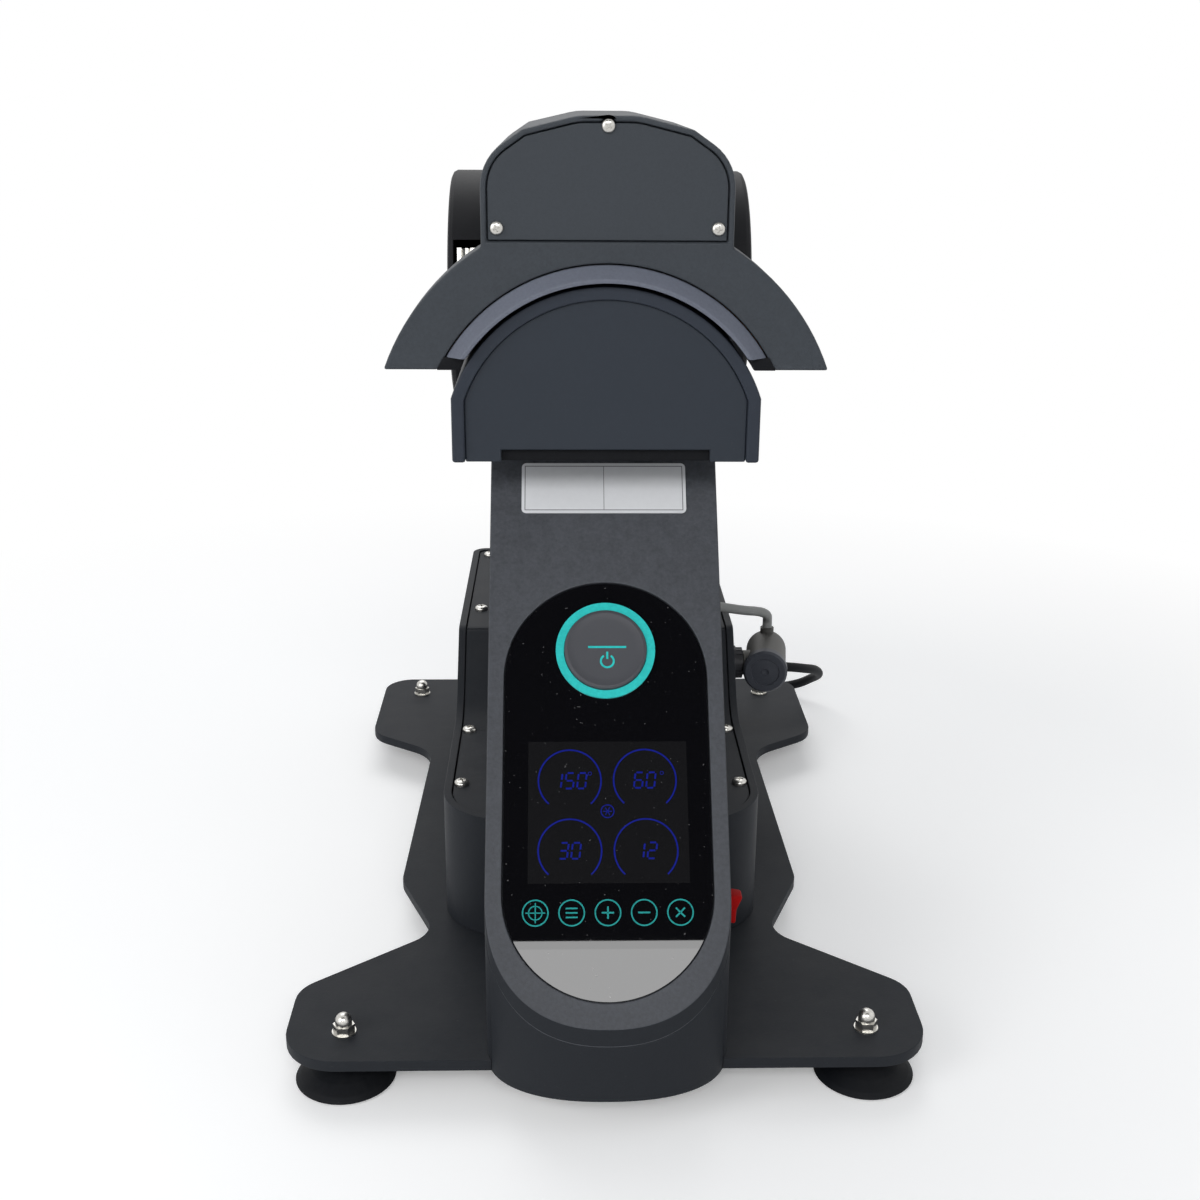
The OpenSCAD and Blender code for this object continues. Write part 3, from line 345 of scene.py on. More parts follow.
def finish_list():
    """Each finish's maker and what it is given after the name, in its own order."""
    c = colours()
    return {
        "black_powder_coat": (coated, c.powder, 0.58, 1150, 0.10, 0.20, 0.04, 0.12, 14, 0.14),
        "cast_powder_coat": (coated, c.cast_powder, 0.55, 780, 0.22, 0.26, 0.02, 0.20),
        "cover_powder_coat": (coated, c.cast_powder, 0.55, 900, 0.10, 0.16, 0.0),
        # The grey coat's strong edge lightening is mainly a painted highlight on the frame's edges round
        # the glass.
        "grey_powder_coat": (coated, c.grey_powder, 0.52, 560, 0.18, 0.42, 0.02, 0.45),
        "black_enamel": (coated, c.enamel, 0.42, 500, 0.02, 0.10, 0.03),
        "steel_frame": (coated, (0.045, 0.046, 0.05), 0.5, 800, 0.06, 0.2, 0.08, 0.3),
        "bright_steel": (metal, c.steel, 0.30),
        "cast_aluminium": (metal, (0.55, 0.55, 0.56), 0.44, (420, 420, 420), 0.05),
        "rim_casting": (coated, c.bare_casting, 0.46, 760, 0.09, 0.20, 0.02, 0.25, 26),
        "bronze": (metal, (0.50, 0.34, 0.16), 0.34),
        "rubber_black": (coated, c.rubber, 0.60, 420, 0.05, 0.25, 0.05, 0.0, 14, 0.12),
        "silicone_black": (coated, c.silicone, 0.50, 380, 0.03, 0.12, 0.05, 0.0, 9, 0.2),
        "lead_grey": (coated, c.lead, 0.42, 900, 0.05, 0.12, 0.05),
        "platen_dark": (coated, (0.012, 0.013, 0.016), 0.5, 500, 0.03, 0.2, 0.03),
        "neck_black": (coated, (0.0060, 0.0065, 0.0080), 0.72, 260, 0.35, 0.5, 0.06, 0.0, 14, 0.12),
        "drum_black": (coated, (0.0070, 0.0075, 0.0095), 0.55, 900, 0.05, 0.2, 0.04, 0.0, 14, 0.15),
        "cap_grey": (coated, (0.044, 0.048, 0.060), 0.45, 900, 0.03, 0.15, 0.05),
        "panel_black": (glossy_black, c.glass, 0.004),
        "display_blue": (glossy_black, c.display, 0.02),
        "display_mark": (lit, c.digits, 0.65),
        "teal_mark": (lit, shade(c.teal, 0.8)[:3], 0.12),
        "board_green": (coated, (0.01, 0.11, 0.04), 0.36, 300, 0.02, 0.2, 0.02),
        "brass_standoff": (metal, (0.70, 0.52, 0.24), 0.30),
        "teal_ring": (lit, c.teal, 0.55),
        "button_grey": (coated, c.button, 0.50, 1500, 0.02, 0.10, 0.02),
        "black_plastic": (coated, c.plastic, 0.46, 900, 0.03, 0.18, 0.06),
        "elbow_grey": (coated, c.elbow, 0.52, 700, 0.05, 0.16, 0.06),
        "rocker_red": (coated, c.rocker, 0.55, 500, 0.01, 0.08, 0.02, 0.0, 14, 0.05),
        "plate_white": (coated, c.label, 0.40, 300, 0.01, 0.04, 0.04),
        "label_line": (coated, (0.16, 0.16, 0.17), 0.5, 500, 0.01, 0.1, 0.0),
        "supply_zinc": (metal, (0.50, 0.51, 0.52), 0.42, (60, 60, 60), 0.03),
        "heater_film": (coated, (0.28, 0.10, 0.03), 0.36, 400, 0.02, 0.15, 0.0),
        "insulation_felt": (coated, (0.55, 0.50, 0.36), 0.9, 700, 0.5, 0.2, 0.0, 0.0, 14, 0.25, 0.3),
    }


MADE = {}


def finish(name):
    """The finish of that name, made once."""
    if name not in MADE:
        maker, *settings = finish_list()[name]
        MADE[name] = maker("press_" + name, *settings)
    return MADE[name]


# Modelling helpers


def deselect():
    if bpy.context.mode != "OBJECT":
        bpy.ops.object.mode_set(mode="OBJECT")
    bpy.ops.object.select_all(action="DESELECT")


def pick(piece):
    deselect()
    piece.select_set(True)
    bpy.context.view_layer.objects.active = piece


def settle(piece, place=None):
    """Puts the piece at its place and applies it, so its object sits at the origin."""
    pick(piece)
    if place is not None:
        piece.matrix_world = place @ piece.matrix_world
    bpy.ops.object.transform_apply(location=True, rotation=True, scale=True)


def edit_all():
    bpy.ops.object.mode_set(mode="EDIT")
    bpy.ops.mesh.select_all(action="SELECT")


def outward():
    """Merges doubles and turns the faces outwards, then leaves edit mode."""
    bpy.ops.mesh.select_all(action="SELECT")
    bpy.ops.mesh.remove_doubles(threshold=0.000002)
    bpy.ops.mesh.normals_make_consistent(inside=False)
    bpy.ops.object.mode_set(mode="OBJECT")


def smooth(crease):
    """Shades the active piece smooth up to that angle between its faces."""
    bpy.ops.object.shade_smooth_by_angle(angle=radians(crease))


def shape(piece, kind, **settings):
    """Adds a modifier and applies it."""
    pick(piece)
    modifier = piece.modifiers.new(kind.title(), kind)
    for key, value in settings.items():
        setattr(modifier, key, value)
    bpy.ops.object.modifier_apply(modifier=modifier.name)


def ease(piece, width, segments, crease, clamp=True):
    """Rounds the edges at which two faces meet at more than the crease angle."""
    shape(piece, "BEVEL", width=width, segments=segments, limit_method="ANGLE",
          angle_limit=radians(crease), use_clamp_overlap=clamp)


def turned(name, profile, sides=64, place=None, crease=32):
    """A solid turned about Z from (radius, height) pairs, extruded and scaled ring by ring."""
    deselect()
    bpy.ops.mesh.primitive_circle_add(vertices=sides, radius=profile[0][0], fill_type="NGON",
                                      location=(0, 0, profile[0][1]), enter_editmode=True)
    for (r0, z0), (r1, z1) in zip(profile, profile[1:]):
        bpy.ops.mesh.extrude_region_move(TRANSFORM_OT_translate={"value": (0, 0, z1 - z0)})
        bpy.ops.transform.resize(value=(r1 / r0, r1 / r0, 1), center_override=(0, 0, z1))
    outward()
    piece = bpy.context.active_object
    piece.name = name
    smooth(crease)
    settle(piece, place)
    return piece


def cube(name, size, centre, cuts=0):
    """A plain box, with each face cut across that many times."""
    deselect()
    bpy.ops.mesh.primitive_cube_add(size=1, location=centre, scale=size)
    piece = bpy.context.active_object
    piece.name = name
    settle(piece)
    if cuts:
        edit_all()
        bpy.ops.mesh.subdivide(number_cuts=cuts)
        bpy.ops.object.mode_set(mode="OBJECT")
    return piece


def block(name, size, centre, bevel, segments=2, place=None):
    """A box with rounded edges."""
    piece = cube(name, size, centre)
    shape(piece, "BEVEL", width=bevel, segments=segments)
    smooth(40)
    settle(piece, place)
    return piece


def cut(piece, cutter):
    """Takes the cutter out of the piece."""
    shape(piece, "BOOLEAN", operation="DIFFERENCE", object=cutter, solver="EXACT")
    bpy.data.objects.remove(cutter)


def copies(piece, name, places):
    """Copies of the piece at each place, joined under one name."""
    made = []
    for place in places:
        twin = piece.copy()
        twin.data = piece.data.copy()
        twin.data.transform(place)
        bpy.context.scene.collection.objects.link(twin)
        made.append(twin)
    bpy.data.objects.remove(piece)
    return joined(made, name)


def joined(parts, name):
    deselect()
    for part in parts:
        part.select_set(True)
    bpy.context.view_layer.objects.active = parts[0]
    if len(parts) > 1:
        bpy.ops.object.join()
    parts[0].name = name
    return parts[0]


def hand_over(piece, body, slot, material=None, replaced=()):
    """Gives the piece its finish and its body, and hides what it stands for."""
    piece.data.materials.clear()
    piece.data.materials.append(finish(material or slot))
    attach(piece, body)
    if replaced:
        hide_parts(*replaced)
    return piece


def eased_copy(name, part, width):
    """A copy of a CAD node's mesh with its sharp edges eased, as casting or coating leaves them."""
    deselect()
    piece = bpy.data.objects.new(name, NODES[part].data.copy())
    bpy.context.scene.collection.objects.link(piece)
    pick(piece)
    edit_all()
    bpy.ops.mesh.remove_doubles(threshold=0.000005)
    bpy.ops.mesh.dissolve_limited(angle_limit=radians(0.4))
    bpy.ops.object.mode_set(mode="OBJECT")
    ease(piece, width, 2, 30, False)
    smooth(32)
    shape(piece, "WEIGHTED_NORMAL", keep_sharp=True)
    return piece


# The stage

CAMERA_PLACE = (-0.0205, -0.8443, 0.4713)
CAMERA_PITCH, CAMERA_YAW, CAMERA_ROLL = 70.95, -1.44, 0.4
SENSOR_WIDTH = 36
PANEL_TARGET, MIDDLE_TARGET = (0, -0.25, 0.1), (0, 0, 0.25)
FLAG_PLACE = (0, -1.55, 2.35)
# How far from the middle the floor starts to turn plain white, and where it is
NEAR_FLOOR, FAR_FLOOR = 0.45, 0.9


def facing(place, target):
    """The rotation that looks from the place to the target."""
    return (Vector(target) - Vector(place)).to_track_quat("-Z", "Y").to_euler()


class PRESS_OT_stage(Operator):
    """Camera, plain floor, white surroundings and soft studio light"""
    bl_idname = "press.stage"
    bl_label = "Stage"

    def execute(self, context):
        scene = context.scene
        scene.view_settings.view_transform = "Standard"
        self.camera(scene)
        self.surroundings(scene)
        self.floor()
        self.lamps()
        return {"FINISHED"}

    def camera(self, scene):
        deselect()
        bpy.ops.object.camera_add(location=CAMERA_PLACE,
                                  rotation=(radians(CAMERA_PITCH), 0, radians(CAMERA_YAW)))
        camera = bpy.context.active_object
        camera.name = "photo_camera"
        camera.matrix_world = camera.matrix_world @ Matrix.Rotation(radians(CAMERA_ROLL), 4, "Z")
        camera.data.lens = sizes().lens
        camera.data.sensor_width = SENSOR_WIDTH
        camera.data.clip_end = 200
        scene.camera = camera

    def seen(self, tree):
        """One for rays that show the background: from the camera, in gloss and through glass."""
        path = node(tree, "ShaderNodeLightPath")
        total = plus(tree, path.outputs["Is Camera Ray"], path.outputs["Is Glossy Ray"])
        return plus(tree, total, path.outputs["Is Transmission Ray"], True)

    def surroundings(self, scene):
        world = bpy.data.worlds.new("Studio surroundings")
        world.use_nodes = True
        tree = world.node_tree
        tree.nodes.clear()
        light = node(tree, "ShaderNodeBackground", {"Color": (0.93, 0.96, 1.0, 1), "Strength": 0.31})
        shown = node(tree, "ShaderNodeBackground", {"Color": (1, 1, 1, 1), "Strength": 1.0})
        mixed = node(tree, "ShaderNodeMixShader", {0: self.seen(tree), 1: light.outputs[0],
                                                   2: shown.outputs[0]})
        node(tree, "ShaderNodeOutputWorld", {"Surface": mixed.outputs[0]})
        scene.world = world

    def floor(self):
        deselect()
        bpy.ops.mesh.primitive_plane_add(size=sizes().floor_size, location=(0, 0, -0.0002))
        floor = bpy.context.active_object
        floor.name = "studio_floor"
        material, tree, shader = blank_material("Studio floor")
        fill(tree, shader, {"Base Color": (0.95, 0.95, 0.95, 1), "Roughness": 0.9,
                            "Specular IOR Level": 0.1})
        seen = self.seen(tree)
        glow = node(tree, "ShaderNodeEmission", {"Color": (1, 1, 1, 1),
                                                 "Strength": times(tree, seen, 0.21)})
        both = node(tree, "ShaderNodeAddShader", {0: shader.outputs[0], 1: glow.outputs[0]})
        # Away from the press the floor shows as plain white, like the backdrop
        away = node(tree, "ShaderNodeVectorMath", {0: object_place(tree)}, operation="LENGTH")
        far = ranged(tree, away.outputs["Value"], NEAR_FLOOR, FAR_FLOOR)
        white = node(tree, "ShaderNodeEmission", {"Color": (1, 1, 1, 1), "Strength": 1.0})
        mixed = node(tree, "ShaderNodeMixShader", {0: times(tree, far, seen), 1: both.outputs[0],
                                                   2: white.outputs[0]})
        out = next(n for n in tree.nodes if n.type == "OUTPUT_MATERIAL")
        fill(tree, out, {"Surface": mixed.outputs[0]})
        floor.data.materials.append(material)

    def lamp(self, name, place, target, width, height, radiance):
        """A softbox of that brightness that faces the target."""
        deselect()
        bpy.ops.object.light_add(type="AREA", location=place)
        lamp = bpy.context.active_object
        lamp.name = name
        lamp.data.shape = "RECTANGLE"
        lamp.data.size, lamp.data.size_y = width, height
        lamp.data.energy = radiance * pi * width * height
        lamp.rotation_euler = facing(place, target)

    def lamps(self):
        self.lamp("front_softbox", (0, -2.25, 1.62), PANEL_TARGET, 1.7, 0.62, 7.5)
        self.lamp("left_softbox", (-1.5, -1.3, 1.0), MIDDLE_TARGET, 1.0, 1.2, 3.5)
        self.lamp("right_softbox", (2.0, -0.3, 1.2), MIDDLE_TARGET, 1.1, 1.4, 0.3)
        self.lamp("top_softbox", (-0.3, 1.3, 2.0), MIDDLE_TARGET, 2.0, 1.4, 2.1)
        self.flag()

    def flag(self):
        """A black screen above the camera that only the glass and the gloss see."""
        deselect()
        bpy.ops.mesh.primitive_plane_add(size=1, location=FLAG_PLACE)
        flag = bpy.context.active_object
        flag.name = "studio_flag"
        flag.scale = (2.6, 1.5, 1)
        flag.rotation_euler = facing(FLAG_PLACE, PANEL_TARGET)
        settle(flag)
        material, tree, shader = blank_material("Black flag")
        fill(tree, shader, {"Base Color": (0.002, 0.002, 0.002, 1), "Roughness": 1.0,
                            "Specular IOR Level": 0.0})
        flag.data.materials.append(material)
        flag.visible_camera = flag.visible_diffuse = flag.visible_shadow = False


# Cords

RELIEF_START = (0.088, 0.192, 0.061)
CORD_ROUTE = [*[(x, 0.192, 0.061) for x in (0.0885, 0.103, 0.118, 0.127)],
              (0.139, 0.194, 0.060), (0.151, 0.200, 0.057), (0.162, 0.210, 0.052), (0.171, 0.223, 0.046),
              (0.177, 0.237, 0.038), (0.179, 0.251, 0.030), (0.176, 0.264, 0.022), (0.169, 0.274, 0.014),
              (0.158, 0.282, 0.008), (0.145, 0.287, 0.0046), (0.130, 0.289, 0.0043),
              *[(x, 0.290, 0.0047) for x in (0.112, 0.092, 0.070, 0.048, 0.028, 0.007)]]
COIL_MIDDLE = (0.0, 0.3388, 0.0047)
COIL_INNER, COIL_PITCH, COIL_OUTER = 0.026, 0.0076, 0.0488
COIL_STEPS = 30
PLUG_PLACE = (0.028, 0.3876, 0.0123)
HEATER_POINTS = [(0.1132, 0.0828, 0.132), (0.1132, 0.0828, 0.137), (0.1123, 0.0795, 0.1414),
                 (0.109, 0.076, 0.1446), (0.1035, 0.072, 0.147), (0.0965, 0.066, 0.1496),
                 (0.088, 0.0605, 0.1526), (0.079, 0.056, 0.1556), (0.071, 0.0525, 0.1584),
                 (0.0645, 0.050, 0.1604), (0.059, 0.049, 0.161), (0.0555, 0.049, 0.161)]


def coil_points(turns):
    """The put-away coil: spirals in, climbs one layer in half a turn and spirals out."""
    points = []
    for i in range(1, int(COIL_STEPS * (2 * turns + 0.5)) + 1):
        t = i / COIL_STEPS
        radius = COIL_INNER + COIL_PITCH * (abs(t - turns - 0.25) - 0.25)
        s = max(0.0, min(1.0, (t - turns) * 2))
        angle = radians(-90 - 360 * t)
        x, y, z = COIL_MIDDLE
        points.append((x + radius * cos(angle), y + radius * sin(angle),
                       z + COIL_PITCH * s * s * (3 - 2 * s)))
    return points


def smooth_route(points, steps):
    """A smooth line through the points, with that many steps between two of them."""
    line = []
    for i in range(len(points) - 1):
        a, b = Vector(points[max(i - 1, 0)]), Vector(points[i])
        c, d = Vector(points[i + 1]), Vector(points[min(i + 2, len(points) - 1)])
        for k in range(steps):
            t = k / steps
            line.append(0.5 * (2 * b + (c - a) * t + (2 * a - 5 * b + 4 * c - d) * t * t
                               + (3 * b - a - 3 * c + d) * t ** 3))
    return line + [Vector(points[-1])]


def cord_curve(name, points, radius):
    """A round cord along the points, as a curve of one open spline."""
    data = bpy.data.curves.new(name, "CURVE")
    data.dimensions = "3D"
    data.bevel_depth = radius
    data.bevel_resolution = 6
    data.use_fill_caps = True
    spline = data.splines.new("POLY")
    spline.points.add(len(points) - 1)
    for point, place in zip(spline.points, points):
        point.co = (*place, 1)
    spline.use_smooth = True
    cord = bpy.data.objects.new(name, data)
    bpy.context.scene.collection.objects.link(cord)
    return cord


class PRESS_OT_mains_cord(Operator):
    """Mains cord with its ribbed strain relief, put-away coil, plug and tie"""
    bl_idname = "press.mains_cord"
    bl_label = "Mains cord"

    def execute(self, context):
        radius = sizes().cord_diameter / 2
        line = smooth_route(CORD_ROUTE, 3) + [Vector(p) for p in coil_points(sizes().coil_turns)]
        x, y, z = PLUG_PLACE
        line += smooth_route([line[-1], (x / 2, y, z), (x + 0.002, y, z)], 3)[1:]
        cord = cord_curve("mains_cord", line, radius)
        hand_over(cord, "base", "rubber_black", replaced=("mains_lead", "mains_coil"))
        others = [self.relief(radius), self.plug(), self.tie()]
        return {"FINISHED"}

    def relief(self, radius):
        """A tapered sleeve with ribs, pressed into the casing behind its flange."""
        profile = [(0.0055, -0.007), (0.0058, -0.0005), (0.0088, 0.0), (0.009, 0.0008), (0.009, 0.0018),
                   (0.0084, 0.0025), (0.0060, 0.0028), (0.0058, 0.0045)]
        rib, z = 0.0058, 0.0045
        while z < 0.0255:
            profile += [(rib - 0.0008, z + 0.0003), (rib - 0.0008, z + 0.0013), (rib, z + 0.0016),
                        (rib, z + 0.0029)]
            z += 0.0030
            rib -= 0.00022
        profile += [(radius + 0.0009, 0.0285), (radius + 0.0004, 0.0298), (radius + 0.0001, 0.030)]
        piece = turned("strain_relief_sleeve", profile, 48, at(RELIEF_START, pi / 2, "Y"))
        return hand_over(piece, "base", "rubber_black", replaced=("strain_relief",))

    def plug(self):
        """A moulded plug: a ribbed neck, a waisted grip, two blades and an earth pin."""
        neck = [(0.0040, 0.0), (0.0043, 0.001)]
        for i in range(4):
            z = 0.0015 + i * 0.0028
            r = 0.0046 + i * 0.0007
            neck += [(r + 0.0006, z + 0.0003), (r + 0.0008, z + 0.0016), (r, z + 0.002),
                     (r + 0.0002, z + 0.0025)]
        neck += [(0.0072, 0.0135), (0.0072, 0.016)]
        grip = cube("plug_grip", (0.0236, 0.0254, 0.030), (0, 0, 0.029), 5)
        for vertex in grip.data.vertices:
            along = (vertex.co.z - 0.029) / 0.015
            vertex.co.y *= 1 - 0.13 * exp(-((along + 0.15) / 0.45) ** 2)
            vertex.co.y *= 1 - 0.16 * max(0.0, -along - 0.55)
            vertex.co.x *= 1 - 0.10 * max(0.0, -along - 0.55)
        ease(grip, 0.0022, 3, 50)
        smooth(50)
        turn = at(PLUG_PLACE, pi / 2, "Y")
        body = joined([turned("plug_neck", neck, 40), grip], "plug_body")
        settle(body, turn)
        hand_over(body, "base", "rubber_black", replaced=("mains_plug",))
        pins = [block("blade", (0.0063, 0.0015, 0.018), (-0.001, y, 0.052), 0.0004)
                for y in (-0.0063, 0.0063)]
        earth = [(0.0024, 0.043), (0.0024, 0.0600), (0.0020, 0.0618), (0.0012, 0.0628), (0.0004, 0.063)]
        pins.append(turned("earth_pin", earth, 32, Matrix.Translation((0.0045, 0, 0))))
        pins = joined(pins, "plug_pins")
        settle(pins, turn)
        hand_over(pins, "base", "bright_steel")
        pins.parent = body
        return body

    def tie(self):
        """A soft strap round the turns, with its tail stuck over its end."""
        width, start, reach, tall = 0.014, COIL_INNER - 0.0069, COIL_OUTER - COIL_INNER + 0.0119, 0.0188
        middle = (start + reach / 2, 0, tall / 2 + 0.0001)
        strap = block("cord_tie", (reach, width, tall), middle, 0.0028, 4)
        mesh = bmesh.new()
        mesh.from_mesh(strap.data)
        bmesh.ops.delete(mesh, geom=[f for f in mesh.faces if abs(f.normal.y) > 0.9], context="FACES")
        mesh.to_mesh(strap.data)
        mesh.free()
        shape(strap, "SOLIDIFY", thickness=0.0009, offset=-1)
        tail = block("tie_tail", (0.020, width - 0.002, 0.0009), (start + 0.018, 0, tall + 0.0004), 0.0003)
        piece = joined([strap, tail], "cord_tie")
        settle(piece, at((0, COIL_MIDDLE[1], 0), radians(150)))
        return hand_over(piece, "base", "black_plastic", replaced=("lead_tie",))


class PRESS_OT_heater_lead(Operator):
    """Grey lead from the heater plug into the tower"""
    bl_idname = "press.heater_lead"
    bl_label = "Heater lead"

    def execute(self, context):
        lead = cord_curve("heater_cable", smooth_route(HEATER_POINTS, 5), 0.0031)
        pick(lead)
        bpy.ops.object.convert(target="MESH")
        smooth(40)
        hand_over(bpy.context.active_object, "base", "lead_grey", replaced=("heater_lead",))
        return {"FINISHED"}


# Casings and castings

SLOT_OF = {part["node"]: part["material_slot"] for part in frame["record"]["subparts"]}
# Nodes whose finish isn't that of their slot
OTHER_FINISH = {"upper_housing": "cast_powder_coat", "hood_plate": "cover_powder_coat",
                "upper_platen": "rim_casting", "platen_neck": "neck_black", "elbow_cap": "cap_grey",
                "hinge_cover_left": "drum_black", "hinge_cover_right": "drum_black"}


class PRESS_OT_gap_shade_blocks(Operator):
    """Black blocks that close the ends of the gap under the upper platen's rim, standing in as painted
    shade for the dark gap there
    """
    bl_idname = "press.end_blocks"
    bl_label = "Platen gap shade blocks"

    def execute(self, context):
        bottom, tall, lean = low("upper_platen").z, 0.0061, 0.56
        middle, front = bottom + tall / 2, low("upper_housing").y
        blocks = []
        for sign in (-1, 1):
            centre = (sign * 0.0748, front + 0.0026, middle)
            made = block("end_block", (0.0106, 0.0070, tall), centre, 0.0005)
            for vertex in made.data.vertices:
                vertex.co.x -= sign * lean * (vertex.co.z - middle)
            blocks.append(made)
        # The darkest black finish on these blocks is painted shade where the gap's ends are dark.
        hand_over(joined(blocks, "platen_gap_shade_blocks"), "arm", "silicone_black", "neck_black")
        return {"FINISHED"}


class PRESS_OT_castings(Operator):
    """Casings, castings and pads with the eased edges that coating and moulding leave"""
    bl_idname = "press.castings"
    bl_label = "Casings and castings"

    def execute(self, context):
        s = sizes()
        for name, part, width, body in (
                ("arm_casting", "upper_housing", s.cast_round, "arm"),
                ("hood_cover", "hood_plate", s.sheet_round, "arm"),
                ("panel_frame", "face_frame", s.cast_round * 0.7, "base"),
                ("control_column", "column_casing", s.sheet_round * 2, "base"),
                ("press_base", "base_plate", s.sheet_round, "base"),
                ("rear_body", "rear_casing", s.sheet_round, "base"),
                ("front_deck", "deck_cover", s.sheet_round, "base"),
                ("rear_deck", "rear_cover", s.sheet_round, "base"),
                ("platen_pad", "lower_pad", s.pad_round, "base"),
                ("pad_front_plate", "front_end_plate", s.sheet_round * 1.4, "base"),
                ("pad_back_plate", "back_end_plate", s.sheet_round * 1.4, "base"),
                ("heated_platen", "upper_platen", s.cast_round * 0.6, "arm")):
            piece = eased_copy(name, part, width)
            hand_over(piece, body, SLOT_OF[part], OTHER_FINISH.get(part), (part,))
            if part == "face_frame":
                self.second_coat(piece, "black_powder_coat", self.on_outer_side)
            if part == "upper_platen":
                self.second_coat(piece, "platen_dark", self.behind_rim)
        return {"FINISHED"}

    def second_coat(self, piece, name, wears):
        piece.data.materials.append(finish(name))
        for face in piece.data.polygons:
            if wears(face):
                face.material_index = 1

    def on_outer_side(self, face):
        """The frame's upright outer wall, which gets the black finish, so the frame is darker on its sides
        than on its face.
        """
        outward_x = face.center.x * face.normal.x > 0
        return abs(face.normal.z) < 0.25 and (outward_x or face.normal.y < -0.5)

    def behind_rim(self, face):
        """All of the upper platen behind its bevelled rim."""
        return face.center.y > low("upper_housing").y + 0.0004


# Marks on the panel

SEGMENTS = {"0": "abcdef", "1": "bc", "2": "abged", "3": "abgcd", "5": "afgcd", "6": "afgedc"}
# How far the figures lean to the right
LEAN = 0.12


class MarkSheet:
    """Flat marks drawn in the panel's own plane, then given their thickness and place."""

    def __init__(self, name):
        deselect()
        bpy.ops.mesh.primitive_plane_add(size=0.001)
        self.sheet = bpy.context.active_object
        self.sheet.name = name
        bpy.ops.object.mode_set(mode="EDIT")
        bpy.ops.mesh.select_all(action="SELECT")
        bpy.ops.mesh.delete(type="VERT")

    def bar(self, x, y, width, height, turn=0.0):
        bpy.ops.mesh.select_all(action="DESELECT")
        bpy.ops.mesh.primitive_plane_add(size=1, location=(x, y, 0), rotation=(0, 0, turn))
        angle = Matrix.Rotation(turn, 3, "Z")
        bpy.ops.transform.resize(value=(width, height, 1), orient_type="GLOBAL",
                                 orient_matrix=[list(row) for row in angle.transposed()],
                                 orient_matrix_type="GLOBAL", center_override=(x, y, 0))

    def arc(self, x, y, radius, line, start=0, end=360, steps=64):
        """A band of that line width round (x, y), from one angle to another."""
        bpy.ops.mesh.select_all(action="DESELECT")
        angle = radians(start)
        middle, out = Vector((x, y, 0)), Vector((cos(angle), sin(angle), 0))
        bpy.ops.mesh.primitive_plane_add(size=1, location=middle + out * radius)
        mesh = bmesh.from_edit_mesh(self.sheet.data)
        fresh = [v for v in mesh.verts if v.select]
        bmesh.ops.delete(mesh, geom=fresh[2:], context="VERTS")
        fresh[0].co, fresh[1].co = middle + out * (radius - line / 2), middle + out * (radius + line / 2)
        for edge in mesh.edges:
            edge.select = fresh[0] in edge.verts and fresh[1] in edge.verts
        bmesh.update_edit_mesh(self.sheet.data)
        bpy.ops.mesh.spin(steps=steps, angle=radians(end - start), center=(x, y, 0), axis=(0, 0, -1))

    def digit(self, figure, x, y, tall, line):
        """A seven-bar figure with its middle at (x, y)."""
        wide, half = tall * 0.52, tall / 2
        side, quarter = wide / 2, half / 2
        bars = {"a": (0, half, 1), "g": (0, 0, 1), "d": (0, -half, 1), "b": (side, quarter, 0),
                "c": (side, -quarter, 0), "f": (-side, quarter, 0), "e": (-side, -quarter, 0)}
        for bar in SEGMENTS[figure]:
            dx, dy, level = bars[bar]
            dx += dy * LEAN
            long = (wide if level else half) - line * 1.25
            if level:
                self.bar(x + dx, y + dy, long, line)
            else:
                self.bar(x + dx, y + dy, line, long, -LEAN)

    def number(self, figures, x, y, tall, line):
        step = tall * 0.52 + line * 2.3
        for i, figure in enumerate(figures):
            self.digit(figure, x + (i - (len(figures) - 1) / 2) * step, y, tall, line)

    def finish(self, height, thickness, place=FACE):
        """Gives the marks their thickness above that height and lays them in that plane."""
        outward()
        shape(self.sheet, "SOLIDIFY", thickness=thickness, offset=0)
        settle(self.sheet, place @ Matrix.Translation((0, 0, height + thickness / 2)))
        return self.sheet


DISPLAY_MIDDLE = 0.1018
KEY_ROW, FIRST_KEY, KEY_PITCH = 0.0535, -0.0344, 0.01715


